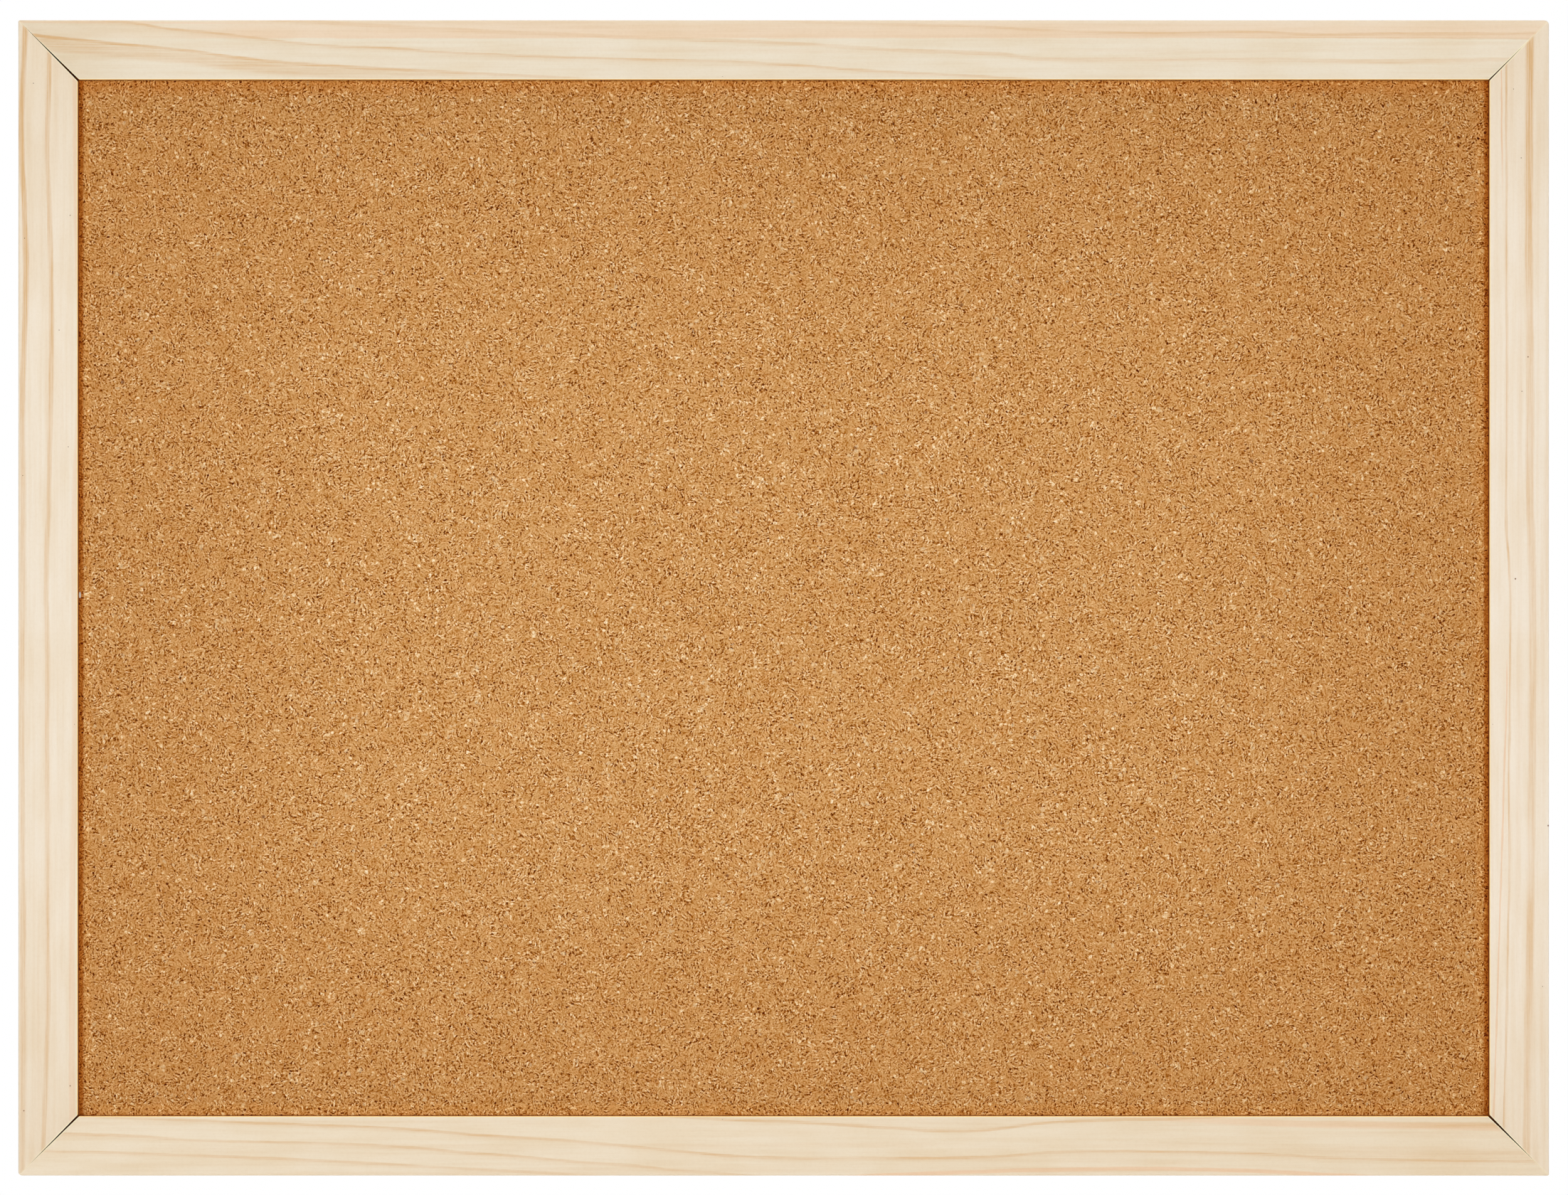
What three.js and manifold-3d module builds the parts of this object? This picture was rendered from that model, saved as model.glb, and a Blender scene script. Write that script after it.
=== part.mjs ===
// Framed cork board for pins and notes. Four mitred pine rails, grooved on their inner edges, hold
// a panel: a cork sheet glued on a softboard core, with a card sheet on the back. V-shaped nails
// close the mitres from behind, and two ring hangers are screwed to the backs of the side rails.
// Millimetres. +X is right and +Z is up as the board hangs, and its front faces -Y.
// The origin is the middle of the top rail's back face, and the wall lies on y = 0.

import * as THREE from "three";
import { mergeVertices } from "three/addons/utils/BufferGeometryUtils.js";
import Module from "manifold-3d";

// The board's outline
const boardWidth = 400;
const boardHeight = 302;

// The panel, from the front to the back
const corkThickness = 2;
const coreThickness = 4;
const backingThickness = 0.6;
const glueLine = 0.1;

// The rails
const railWidth = 15.6;
const frontLip = 2.5;
const backLip = 2.5;
const grooveDepth = 5.5;
const grooveClearance = 0.1;
const panelEdgeClearance = 0.8;
const arrisRadius = 0.4;

// The mitres: closed at the outer corners, and opened a little towards the cork
const mitreSeam = 0.08;
const mitreOpenings = { topLeft: 0.5, topRight: 0.25, bottomRight: 0.42, bottomLeft: 0.38 };
const cornerRadii = { topLeft: 0.4, topRight: 1.1, bottomRight: 0.35, bottomLeft: 0.8 };

// The V-shaped corner nails, two to a mitre
const nailSteel = 0.5;
const nailArm = 4.6;
const nailLength = 6.5;
const nailSink = 0.2;
const nailClearance = 0.2;
const nailPlaceShares = { outer: 0.3, inner: 0.68 };

// The hanger: a steel strip folded double round a ring of wire
const hangerDrop = 60;
const hangerEdgeMargin = 0.5;
const strapWidth = 8;
const strapSteel = 0.8;
const strapLayerGap = 0.1;
const strapNeckRadius = 1.2;
const screwDrop = 13;
const wireDiameter = 2;
const eyeClearance = 0.2;
const ringSideClearance = 0.5;
const ringCornerRadius = 1.6;
const ringArm = 1.4;
const ringButtGap = 0.3;
const ringRestGap = 0.3;

// The hanger's screw
const screwShankDiameter = 3;
const screwLength = 9.5;
const screwPoint = 2.4;
const screwHeadDiameter = 6;
const screwHeadRim = 0.5;
const screwHeadHeight = 1.7;
const screwHoleClearance = 0.2;
const recessSpan = 3.2;
const recessSlot = 0.9;
const recessDepth = 1;

// Cuts run this far past the faces that they leave, and vertices closer than weldDistance are one.
const overrun = 1;
const weldDistance = 0.0001;

// How finely round forms are cut. An arc is drawn with twice its steps.
const arrisSteps = 2;
const cornerSteps = 4;
const bendSteps = 10;
const wireSides = 12;
const wireSteps = 60;
const screwSides = 24;

// Sizes that follow from the ones above
const panelThickness = corkThickness + coreThickness + backingThickness + 2 * glueLine;
const grooveWidth = panelThickness + 2 * grooveClearance;
const frameDepth = frontLip + grooveWidth + backLip;
const solidWidth = railWidth - grooveDepth;
const panelOverlap = grooveDepth - panelEdgeClearance;
const panelWidth = boardWidth - 2 * railWidth + 2 * panelOverlap;
const panelHeight = boardHeight - 2 * railWidth + 2 * panelOverlap;
const boardCentreZ = railWidth / 2 - boardHeight / 2;

const wireRadius = wireDiameter / 2;
const rollRadius = wireRadius + eyeClearance + strapSteel / 2;
const eyeY = strapSteel / 2 + rollRadius;
const upperLayerY = strapSteel / 2 + strapSteel + strapLayerGap;
const strapFace = upperLayerY + strapSteel / 2;
const ringHalfWidth = strapWidth / 2 + ringSideClearance + wireRadius;
const bowCentre = ringCornerRadius + ringArm;
const hangerInset = ringHalfWidth + wireRadius + hangerEdgeMargin;
const shankHoleRadius = screwShankDiameter / 2 + screwHoleClearance;

// The ring hangs down on its strap, and this is how far it leans out to pass over the strap's edge.
const crossingDrop = bowCentre + Math.sqrt(ringHalfWidth ** 2 - (strapWidth / 2) ** 2);
const ringLean = Math.atan2(strapFace + ringRestGap + wireRadius - eyeY, crossingDrop);

const pine = { color: 0xe7d7bb, roughness: 0.62, metalness: 0 };
const cork = { color: 0xc38e56, roughness: 0.92, metalness: 0 };
const softboard = { color: 0x9c7a55, roughness: 0.95, metalness: 0 };
const card = { color: 0xa98c68, roughness: 0.9, metalness: 0 };
const blackSteel = { color: 0x6e6e70, roughness: 0.45, metalness: 1 };
const platedSteel = { color: 0xc4c6ca, roughness: 0.3, metalness: 1 };

const wasm = await Module();
wasm.setup();

// A closed geometry as a solid that can be joined and cut
function solidFrom(geometry) {
  const bare = geometry.clone();
  bare.deleteAttribute("normal");
  bare.deleteAttribute("uv");
  const merged = mergeVertices(bare, weldDistance);
  const mesh = new wasm.Mesh({
    numProp: 3,
    vertProperties: merged.attributes.position.array,
    triVerts: new Uint32Array(merged.index.array),
  });
  return new wasm.Manifold(mesh);
}

// A solid as a geometry with flat faces
function geometryFrom(solid) {
  const { vertProperties, triVerts } = solid.getMesh();
  const indexed = new THREE.BufferGeometry();
  indexed.setAttribute("position", new THREE.BufferAttribute(new Float32Array(vertProperties), 3));
  indexed.setIndex(new THREE.BufferAttribute(new Uint32Array(triVerts), 1));
  const flat = indexed.toNonIndexed();
  flat.computeVertexNormals();
  return flat;
}

function meshOf(name, geometry, finish) {
  const mesh = new THREE.Mesh(geometry, new THREE.MeshStandardMaterial(finish));
  mesh.name = name;
  return mesh;
}

// A front-view shape in x and z, made solid from one depth y to a nearer one
function throughDepth(shape, backY, frontY, curveSegments = cornerSteps) {
  const geometry = new THREE.ExtrudeGeometry(shape, {
    depth: backY - frontY,
    bevelEnabled: false,
    curveSegments,
  });
  geometry.rotateX(Math.PI / 2);
  geometry.translate(0, backY, 0);
  return geometry;
}

// A section in y and z, made solid along x and centred on it
function alongRail(shape, length, curveSegments = arrisSteps) {
  const geometry = new THREE.ExtrudeGeometry(shape, {
    depth: length,
    bevelEnabled: false,
    curveSegments,
  });
  geometry.translate(0, 0, -length / 2);
  const yAxis = new THREE.Vector3(0, 1, 0);
  const zAxis = new THREE.Vector3(0, 0, 1);
  const xAxis = new THREE.Vector3(1, 0, 0);
  geometry.applyMatrix4(new THREE.Matrix4().makeBasis(yAxis, zAxis, xAxis));
  return geometry;
}

function pegHole(radius, backY, frontY, x, z) {
  const geometry = new THREE.CylinderGeometry(radius, radius, backY - frontY, screwSides);
  geometry.translate(x, (backY + frontY) / 2, z);
  return solidFrom(geometry);
}

// A rail's section in y and z: the outer edge is on +z, and the groove opens on -z.
function railSection() {
  const half = railWidth / 2;
  const r = arrisRadius;
  const grooveFloor = grooveDepth - half;
  const section = new THREE.Shape();
  section.absarc(-r, half - r, r, 0, Math.PI / 2);
  section.absarc(r - frameDepth, half - r, r, Math.PI / 2, Math.PI);
  section.absarc(r - frameDepth, r - half, r, Math.PI, 1.5 * Math.PI);
  section.lineTo(frontLip - frameDepth, -half);
  section.lineTo(frontLip - frameDepth, grooveFloor);
  section.lineTo(-backLip, grooveFloor);
  section.lineTo(-backLip, -half);
  section.absarc(-r, r - half, r, 1.5 * Math.PI, 2 * Math.PI);
  return section;
}

// A rail's front view: long on the outer edge, mitred at both ends, with its outer corners worn.
function mitredOutline(length, start, end) {
  const half = railWidth / 2;
  const slant = Math.SQRT2;
  const shape = new THREE.Shape();
  const backOff = (opening) => (opening * slant) / 2;
  const cutAngle = (radius) => Math.acos(-mitreSeam / (2 * radius)) - Math.PI / 4;
  shape.moveTo(railWidth + backOff(start.opening) - length / 2, -half);
  shape.lineTo(length / 2 - railWidth - backOff(end.opening), -half);
  const [a, b] = [end.radius, start.radius];
  shape.absarc(length / 2 - a, half - a, a, cutAngle(a), Math.PI / 2);
  shape.absarc(b - length / 2, half - b, b, Math.PI / 2, Math.PI - cutAngle(b));
  return shape;
}

// A V nail's outline from the rail's outer corner: one arm along the rail, one along its neighbour.
// side is 1 at the rail's start and -1 at its end, and grow widens the outline to a slot.
function nailOutline(place, side, grow) {
  const h = nailSteel / 2 + grow;
  const tip = place + nailArm + grow;
  const shape = new THREE.Shape();
  shape.moveTo(side * (place - h), h - place);
  shape.lineTo(side * tip, h - place);
  shape.lineTo(side * tip, -h - place);
  shape.lineTo(side * (place + h), -h - place);
  shape.lineTo(side * (place + h), -tip);
  shape.lineTo(side * (place - h), -tip);
  return shape;
}

const nailPlaces = Object.entries(nailPlaceShares).map(([key, share]) => ({
  key,
  place: share * solidWidth,
}));

function nailSlots(length, side) {
  return nailPlaces.map(({ place }) => {
    const outline = nailOutline(place, side, nailClearance);
    const geometry = throughDepth(outline, overrun, -nailSink - nailLength - nailClearance);
    geometry.translate((-side * length) / 2, 0, railWidth / 2);
    return solidFrom(geometry);
  });
}

function railGeometry(length, start, end, screwX) {
  const blank = solidFrom(alongRail(railSection(), length));
  const outline = mitredOutline(length, start, end);
  let rail = blank.intersect(solidFrom(throughDepth(outline, overrun, -frameDepth - overrun)));
  for (const slot of [...nailSlots(length, 1), ...nailSlots(length, -1)]) {
    rail = rail.subtract(slot);
  }
  if (screwX !== undefined) {
    const holeEnd = strapFace - screwLength - screwHoleClearance;
    const screwZ = railWidth / 2 - hangerInset;
    rail = rail.subtract(pegHole(shankHoleRadius, overrun, holeEnd, screwX, screwZ));
  }
  return geometryFrom(rail);
}

const fitAt = (corner) => ({ opening: mitreOpenings[corner], radius: cornerRadii[corner] });
const screwFromTop = boardHeight / 2 - hangerDrop - screwDrop;

// The four sides, clockwise from the top as seen from the front. Each starts at the corner that
// it is listed with, and turns its outer edge from up by its turn.
const sides = [
  { rail: "rail_top", start: "topLeft", end: "topRight", corner: "top_left", turn: 0 },
  {
    rail: "rail_right",
    start: "topRight",
    end: "bottomRight",
    corner: "top_right",
    turn: Math.PI / 2,
    screwX: -screwFromTop,
  },
  { rail: "rail_bottom", start: "bottomRight", end: "bottomLeft", corner: "bottom_right", turn: Math.PI },
  {
    rail: "rail_left",
    start: "bottomLeft",
    end: "topLeft",
    corner: "bottom_left",
    turn: -Math.PI / 2,
    screwX: screwFromTop,
  },
];

function sideGroup(side) {
  const upright = side.screwX !== undefined;
  const length = upright ? boardHeight : boardWidth;
  const reach = (upright ? boardWidth : boardHeight) / 2 - railWidth / 2;
  const group = new THREE.Group();
  group.rotation.y = side.turn;
  group.position.set(Math.sin(side.turn) * reach, 0, Math.cos(side.turn) * reach);

  const geometry = railGeometry(length, fitAt(side.start), fitAt(side.end), side.screwX);
  group.add(meshOf(side.rail, geometry, pine));

  for (const { key, place } of nailPlaces) {
    const outline = nailOutline(place, 1, 0);
    const nail = meshOf(`v_nail_${side.corner}_${key}`, throughDepth(outline, 0, -nailLength), blackSteel);
    nail.position.set(-length / 2, -nailSink, railWidth / 2);
    group.add(nail);
  }
  return group;
}

// The panel's three layers, each a sheet laid against the one behind it
function panelGroup() {
  const group = new THREE.Group();
  const layers = [
    { name: "backing_sheet", thickness: backingThickness, finish: card },
    { name: "softboard_core", thickness: coreThickness, finish: softboard },
    { name: "cork_sheet", thickness: corkThickness, finish: cork },
  ];
  let backY = -backLip - grooveClearance;
  for (const { name, thickness, finish } of layers) {
    const sheet = meshOf(name, new THREE.BoxGeometry(panelWidth, thickness, panelHeight), finish);
    sheet.position.y = backY - thickness / 2;
    group.add(sheet);
    backY -= thickness + glueLine;
  }
  return group;
}

// The folded strip's outline in y and z: up the wood, round the eye and down again over itself
function strapSection() {
  const turnCos = (upperLayerY - eyeY + strapNeckRadius) / (rollRadius + strapNeckRadius);
  const turn = Math.acos(turnCos);
  const spread = rollRadius + strapNeckRadius;
  const strapEnd = -screwDrop - strapWidth / 2;
  const centreLine = new THREE.Path();
  centreLine.moveTo(strapSteel / 2, strapEnd);
  centreLine.lineTo(strapSteel / 2, 0);
  centreLine.absarc(eyeY, 0, rollRadius, Math.PI, -turn, true);
  const neckY = eyeY + spread * Math.cos(turn);
  const neckZ = -spread * Math.sin(turn);
  centreLine.absarc(neckY, neckZ, strapNeckRadius, Math.PI - turn, Math.PI, false);
  centreLine.lineTo(upperLayerY, strapEnd);
  return thickened(centreLine.getPoints(bendSteps), strapSteel / 2);
}

// A closed outline that keeps the same distance to both sides of a line of points
function thickened(points, offset) {
  const line = points.filter((p, i) => i === 0 || p.distanceTo(points[i - 1]) > weldDistance);
  const left = [];
  const right = [];
  line.forEach((point, i) => {
    const before = line[Math.max(i - 1, 0)];
    const after = line[Math.min(i + 1, line.length - 1)];
    const along = after.clone().sub(before).normalize();
    const across = new THREE.Vector2(-along.y, along.x).multiplyScalar(offset);
    left.push(point.clone().add(across));
    right.unshift(point.clone().sub(across));
  });
  return new THREE.Shape([...left, ...right]);
}

function strapGeometry() {
  const half = strapWidth / 2;
  const top = rollRadius + strapSteel;
  const outline = new THREE.Shape();
  outline.moveTo(half, top);
  outline.lineTo(-half, top);
  outline.lineTo(-half, -screwDrop);
  outline.absarc(0, -screwDrop, half, Math.PI, 2 * Math.PI, false);
  const strip = solidFrom(alongRail(strapSection(), strapWidth + overrun));
  const front = eyeY + top;
  const cutter = solidFrom(throughDepth(outline, front, -overrun, bendSteps));
  const hole = pegHole(shankHoleRadius, front, -overrun, 0, -screwDrop);
  return geometryFrom(strip.intersect(cutter).subtract(hole));
}

// A flat path in x and y as a curve in space, with y turned to hang down
class HangingWire extends THREE.Curve {
  constructor(path) {
    super();
    this.path = path;
  }
  getPoint(t, target = new THREE.Vector3()) {
    const { x, y } = this.path.getPoint(t);
    return target.set(x, 0, -y);
  }
}

// The ring: a straight bar in the eye, two short arms and a round bow. Its ends meet in the bar.
function ringGeometry() {
  const r = ringCornerRadius;
  const cornerX = ringHalfWidth - r;
  const path = new THREE.Path();
  path.moveTo(ringButtGap / 2, 0);
  path.lineTo(cornerX, 0);
  path.absarc(cornerX, r, r, -Math.PI / 2, 0, false);
  path.lineTo(ringHalfWidth, bowCentre);
  path.absarc(0, bowCentre, ringHalfWidth, 0, Math.PI, false);
  path.lineTo(-ringHalfWidth, r);
  path.absarc(-cornerX, r, r, Math.PI, 1.5 * Math.PI, false);
  path.lineTo(-ringButtGap / 2, 0);
  const wire = new THREE.Shape().absarc(0, 0, wireRadius, 0, 2 * Math.PI, false);
  return new THREE.ExtrudeGeometry(wire, {
    steps: wireSteps,
    curveSegments: wireSides / 2,
    extrudePath: new HangingWire(path),
  });
}

// A domed screw with a cross recess. Its head's underside is at y = 0 and its point is on -y.
function screwGeometry() {
  const headRadius = screwHeadDiameter / 2;
  const dome = screwHeadHeight - screwHeadRim;
  const shank = screwShankDiameter / 2;
  const profile = new THREE.Path();
  profile.moveTo(0, -screwLength);
  profile.lineTo(shank, screwPoint - screwLength);
  profile.lineTo(shank, 0);
  profile.lineTo(headRadius, 0);
  profile.lineTo(headRadius, screwHeadRim);
  profile.absellipse(0, screwHeadRim, headRadius, dome, 0, Math.PI / 2, false, 0);
  const points = profile.getPoints(cornerSteps);
  points[points.length - 1].x = 0;
  let screw = solidFrom(new THREE.LatheGeometry(points, screwSides));
  for (const [spanX, spanZ] of [[recessSpan, recessSlot], [recessSlot, recessSpan]]) {
    const slot = new THREE.BoxGeometry(spanX, 2 * recessDepth, spanZ);
    slot.translate(0, screwHeadHeight, 0);
    screw = screw.subtract(solidFrom(slot));
  }
  return geometryFrom(screw);
}

// A hanger stands on the back of a side rail, with its eye's axis at its group's height.
function hangerGroup(side, direction) {
  const group = new THREE.Group();
  group.position.set(direction * (boardWidth / 2 - hangerInset), 0, railWidth / 2 - hangerDrop);
  group.add(meshOf(`hanger_strap_${side}`, strapGeometry(), platedSteel));

  const ring = meshOf(`hanger_ring_${side}`, ringGeometry(), platedSteel);
  ring.position.y = eyeY;
  ring.rotation.x = ringLean;
  group.add(ring);

  const screw = meshOf(`hanger_screw_${side}`, screwGeometry(), platedSteel);
  screw.position.set(0, strapFace, -screwDrop);
  group.add(screw);
  return group;
}

const centred = new THREE.Group();
centred.position.z = boardCentreZ;
centred.add(panelGroup());
for (const side of sides) centred.add(sideGroup(side));

const corkBoard = new THREE.Group();
corkBoard.add(centred, hangerGroup("left", -1), hangerGroup("right", 1));

export default corkBoard;
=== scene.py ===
# Framed cork board: four pine rails round a cork panel, V nails in the mitres and two ring hangers
# behind. Pieces are modelled in millimetres and brought to metres when they are settled. Lengths are
# in millimetres and angles in degrees, unless a note says otherwise.
# +X is right, +Z is up, the front faces -Y and the rails' backs lie on y = 0.
import math

import bmesh
import bpy
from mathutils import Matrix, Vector


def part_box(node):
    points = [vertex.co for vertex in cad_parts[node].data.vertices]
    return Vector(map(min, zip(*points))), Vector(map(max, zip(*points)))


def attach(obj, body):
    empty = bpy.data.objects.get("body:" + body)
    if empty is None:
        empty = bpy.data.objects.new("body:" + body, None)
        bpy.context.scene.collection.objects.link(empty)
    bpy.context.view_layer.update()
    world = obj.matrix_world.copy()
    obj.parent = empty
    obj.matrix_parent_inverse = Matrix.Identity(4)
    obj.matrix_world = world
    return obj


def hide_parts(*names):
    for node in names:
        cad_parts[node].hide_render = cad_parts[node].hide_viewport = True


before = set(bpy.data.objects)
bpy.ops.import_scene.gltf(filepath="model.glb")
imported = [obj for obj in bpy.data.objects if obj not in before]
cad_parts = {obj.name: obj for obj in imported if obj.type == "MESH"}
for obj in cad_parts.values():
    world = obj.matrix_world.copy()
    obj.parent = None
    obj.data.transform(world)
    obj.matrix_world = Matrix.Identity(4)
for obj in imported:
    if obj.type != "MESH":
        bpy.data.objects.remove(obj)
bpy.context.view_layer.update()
metre = 1000.0   # millimetres
closeBy = 0.001  # two places nearer than this count as one


def boxOf(*nodes):
    lows, highs = zip(*(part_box(node) for node in nodes))
    low = Vector(min(c) for c in zip(*lows)) * metre
    high = Vector(max(c) for c in zip(*highs)) * metre
    return low, high


def isNear(a, b):
    return abs(a - b) < closeBy


# Modelling helpers

def begin(primitive, scale=(1, 1, 1), **settings):
    bpy.ops.object.select_all(action="DESELECT")
    primitive(**settings)
    piece = bpy.context.object
    piece.scale = scale
    freeze(piece)
    return piece


def freeze(piece):
    bpy.ops.object.select_all(action="DESELECT")
    piece.select_set(True)
    bpy.context.view_layer.objects.active = piece
    bpy.ops.object.transform_apply(location=True, rotation=True, scale=True)


def edit(piece):
    bpy.context.view_layer.objects.active = piece
    bpy.ops.object.mode_set(mode="EDIT")
    bpy.ops.mesh.select_all(action="SELECT")


def done():
    bpy.ops.object.mode_set(mode="OBJECT")


def pick(piece, kind, wanted):
    # Selects the vertices, edges or faces whose place, and a face's normal, are wanted
    bpy.ops.mesh.select_mode(type=kind)
    bpy.ops.mesh.select_all(action="DESELECT")
    shape = bmesh.from_edit_mesh(piece.data)
    if kind == "VERT":
        chosen = [vert for vert in shape.verts if wanted(vert.co)]
    elif kind == "EDGE":
        chosen = [edge for edge in shape.edges if wanted(*(vert.co for vert in edge.verts))]
    else:
        chosen = [face for face in shape.faces if wanted(face.calc_center_median(), face.normal)]
    for element in chosen:
        element.select_set(True)
    bmesh.update_edit_mesh(piece.data)


def extrudeBy(x, y, z):
    bpy.ops.mesh.extrude_region_move(TRANSFORM_OT_translate={"value": (x, y, z)})


def shrinkBy(x, y):
    bpy.ops.transform.resize(value=(x, y, 1), center_override=(0, 0, 0))


def spin(centre, degrees, axis, steps):
    bpy.ops.mesh.spin(steps=steps, angle=math.radians(degrees), center=centre, axis=axis)


def planeCut(point, normal, clear=False):
    bpy.ops.mesh.select_all(action="SELECT")
    bpy.ops.mesh.bisect(plane_co=point, plane_no=normal, use_fill=clear, clear_outer=clear, threshold=1e-5)


def faceOutwards():
    bpy.ops.mesh.select_all(action="SELECT")
    bpy.ops.mesh.normals_make_consistent(inside=False)


def modify(piece, kind, **settings):
    bpy.context.view_layer.objects.active = piece
    modifier = piece.modifiers.new(kind, kind)
    for key, value in settings.items():
        setattr(modifier, key, value)
    bpy.ops.object.modifier_apply(modifier=modifier.name)


def ease(piece, width, angle):
    # Rounds the edges that turn by more than an angle
    modify(piece, "BEVEL", width=width, segments=2, limit_method="ANGLE", angle_limit=math.radians(angle))


def carve(piece, cutter):
    modify(piece, "BOOLEAN", object=cutter, operation="DIFFERENCE", solver="EXACT")
    bpy.data.objects.remove(cutter)


def block(low, high):
    middle = [(a + b) / 2 for a, b in zip(low, high)]
    sides = [b - a for a, b in zip(low, high)]
    return begin(bpy.ops.mesh.primitive_cube_add, size=1, location=middle, scale=sides)


def drill(piece, look, x, z):
    # A round hole along Y, as deep on both sides of the rails' backs
    carve(piece, begin(bpy.ops.mesh.primitive_cylinder_add, vertices=look["holeSides"],
                       radius=look["holeRadius"], depth=2 * look["holeDepth"],
                       rotation=(math.pi / 2, 0, 0), location=(x, 0, z)))


def groupOf(piece, name, wanted):
    group = piece.vertex_groups.new(name=name)
    group.add([v.index for v in piece.data.vertices if wanted(v.co)], 1.0, "REPLACE")
    return name


def relief(name, size, kind="CLOUDS"):
    texture = bpy.data.textures.new(name, kind)
    texture.noise_scale = size
    return texture


def displace(piece, texture, strength, level=0.5, group=""):
    # Moves faces out where the relief is above a level, and in where it is below
    modify(piece, "DISPLACE", texture=texture, texture_coords="LOCAL", mid_level=level, strength=strength,
           vertex_group=group)


def settle(piece, name, material, slot, body, *nodes, smooth=35):
    piece.scale = [s / metre for s in piece.scale]
    piece.location = piece.location / metre
    freeze(piece)
    bpy.ops.object.shade_smooth_by_angle(angle=math.radians(smooth))
    piece.name = piece.data.name = name
    piece.data.materials.clear()
    piece.data.materials.append(material)
    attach(piece, body)
    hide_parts(*nodes)
    return piece


def copyOf(piece):
    twin = piece.copy()
    twin.data = piece.data.copy()
    bpy.context.collection.objects.link(twin)
    return twin


# Material helpers

def paint(red, green, blue):
    # A colour as a screen shows it, 0 to 255, in linear values
    def linear(c):
        return c / 12.92 if c <= 0.04045 else ((c + 0.055) / 1.055) ** 2.4
    return (*(linear(c / 255) for c in (red, green, blue)), 1)


def feed(tree, value, socket):
    if isinstance(value, bpy.types.NodeSocket):
        tree.links.new(value, socket)
    elif value is not None:
        socket.default_value = value


def addNode(tree, kind, values=(), **settings):
    node = tree.nodes.new("ShaderNode" + kind)
    for key, value in settings.items():
        setattr(node, key, value)
    for label, value in dict(values).items():
        feed(tree, value, node.inputs[label])
    return node


def maths(tree, operation, *values, clamp=False):
    return addNode(tree, "Math", enumerate(values), operation=operation, use_clamp=clamp).outputs[0]


def times(tree, first, second, clamp=False):
    return maths(tree, "MULTIPLY", first, second, clamp=clamp)


def minus(tree, first, second):
    return maths(tree, "SUBTRACT", first, second)


def timesPlus(tree, first, second, third):
    return maths(tree, "MULTIPLY_ADD", first, second, third)


def stirred(tree, pattern, amount, value):
    # A value that a pattern of 0 to 1 brings up and down
    return timesPlus(tree, minus(tree, pattern, 0.5), amount, value)


def ranged(tree, value, low, high, toLow=0.0, toHigh=1.0, curve="SMOOTHSTEP"):
    values = enumerate((value, low, high, toLow, toHigh))
    return addNode(tree, "MapRange", values, interpolation_type=curve).outputs[0]


def mixed(tree, share, first, second, blend="MIX"):
    values = {0: share, 6: first, 7: second}
    return addNode(tree, "Mix", values, data_type="RGBA", blend_type=blend).outputs[2]


def mapped(tree, place, move=(0, 0, 0), turn=(0, 0, 0), scale=(1, 1, 1)):
    turn = [math.radians(c) for c in turn]
    values = {"Vector": place, "Location": move, "Rotation": turn, "Scale": scale}
    return addNode(tree, "Mapping", values).outputs[0]


def inMillimetres(tree, objectPlace):
    return mapped(tree, objectPlace, scale=(metre, metre, metre))


def lengthOf(tree, vector):
    return addNode(tree, "VectorMath", {0: vector}, operation="LENGTH").outputs["Value"]


def noise(tree, place, size, detail=2.0, roughness=0.5, warp=0.0):
    values = {"Vector": place, "Scale": 1 / size, "Detail": detail, "Roughness": roughness,
              "Distortion": warp}
    return addNode(tree, "TexNoise", values).outputs[0]


def patterned(tree, place, scale, detail, roughness, warp=0.0, turn=(0, 0, 0)):
    # Noise that is finer or longer along each axis
    return noise(tree, mapped(tree, place, turn=turn, scale=scale), 1.0, detail, roughness, warp)


def cells(tree, place, size):
    return addNode(tree, "TexVoronoi", {"Vector": place, "Scale": 1 / size}).outputs


def split(tree, value, kind="XYZ"):
    return addNode(tree, "Separate" + kind, {0: value}).outputs


def cellTone(tree, cell, channel):
    # A value of 0 to 1 that each cell has to itself, one in each of three channels
    return split(tree, cell["Color"], "Color")[channel]


def spots(tree, cell, channel, often, outer, inner):
    # A round spot in some of the cells, soft from its outer to its inner radius
    chosen = maths(tree, "LESS_THAN", cellTone(tree, cell, channel), often)
    return times(tree, ranged(tree, cell["Distance"], outer, inner), chosen)


def newGroup(name, inputs, outputs):
    tree = bpy.data.node_groups.new(name, "ShaderNodeTree")
    for label, kind, value in inputs:
        socket = tree.interface.new_socket(label, in_out="INPUT", socket_type="NodeSocket" + kind)
        if value is not None:
            socket.default_value = value
    for label, kind in outputs:
        tree.interface.new_socket(label, in_out="OUTPUT", socket_type="NodeSocket" + kind)
    entry, result = tree.nodes.new("NodeGroupInput"), tree.nodes.new("NodeGroupOutput")
    return tree, entry.outputs, result.inputs


def placeGroup(tree, group, **values):
    node = tree.nodes.new("ShaderNodeGroup")
    node.node_tree = group
    for label, value in values.items():
        feed(tree, value, node.inputs[label])
    return node.outputs


def newMaterial(name, **sockets):
    material = bpy.data.materials.new(name)
    material.use_nodes = True
    tree = material.node_tree
    shader = tree.nodes["Principled BSDF"]
    for label, value in sockets.items():
        shader.inputs[label.replace("_", " ")].default_value = value
    objectPlace = addNode(tree, "TexCoord").outputs["Object"]
    return material, tree, shader, objectPlace


def bumped(tree, shader, height, distance):
    # The height is 0 to 1 over a distance in millimetres
    values = {"Height": height, "Distance": distance / metre, "Strength": 1.0}
    feed(tree, addNode(tree, "Bump", values).outputs[0], shader.inputs["Normal"])


# Rails. Each is modelled along X with its outer edge up, then turned to its side of the frame.

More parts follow.
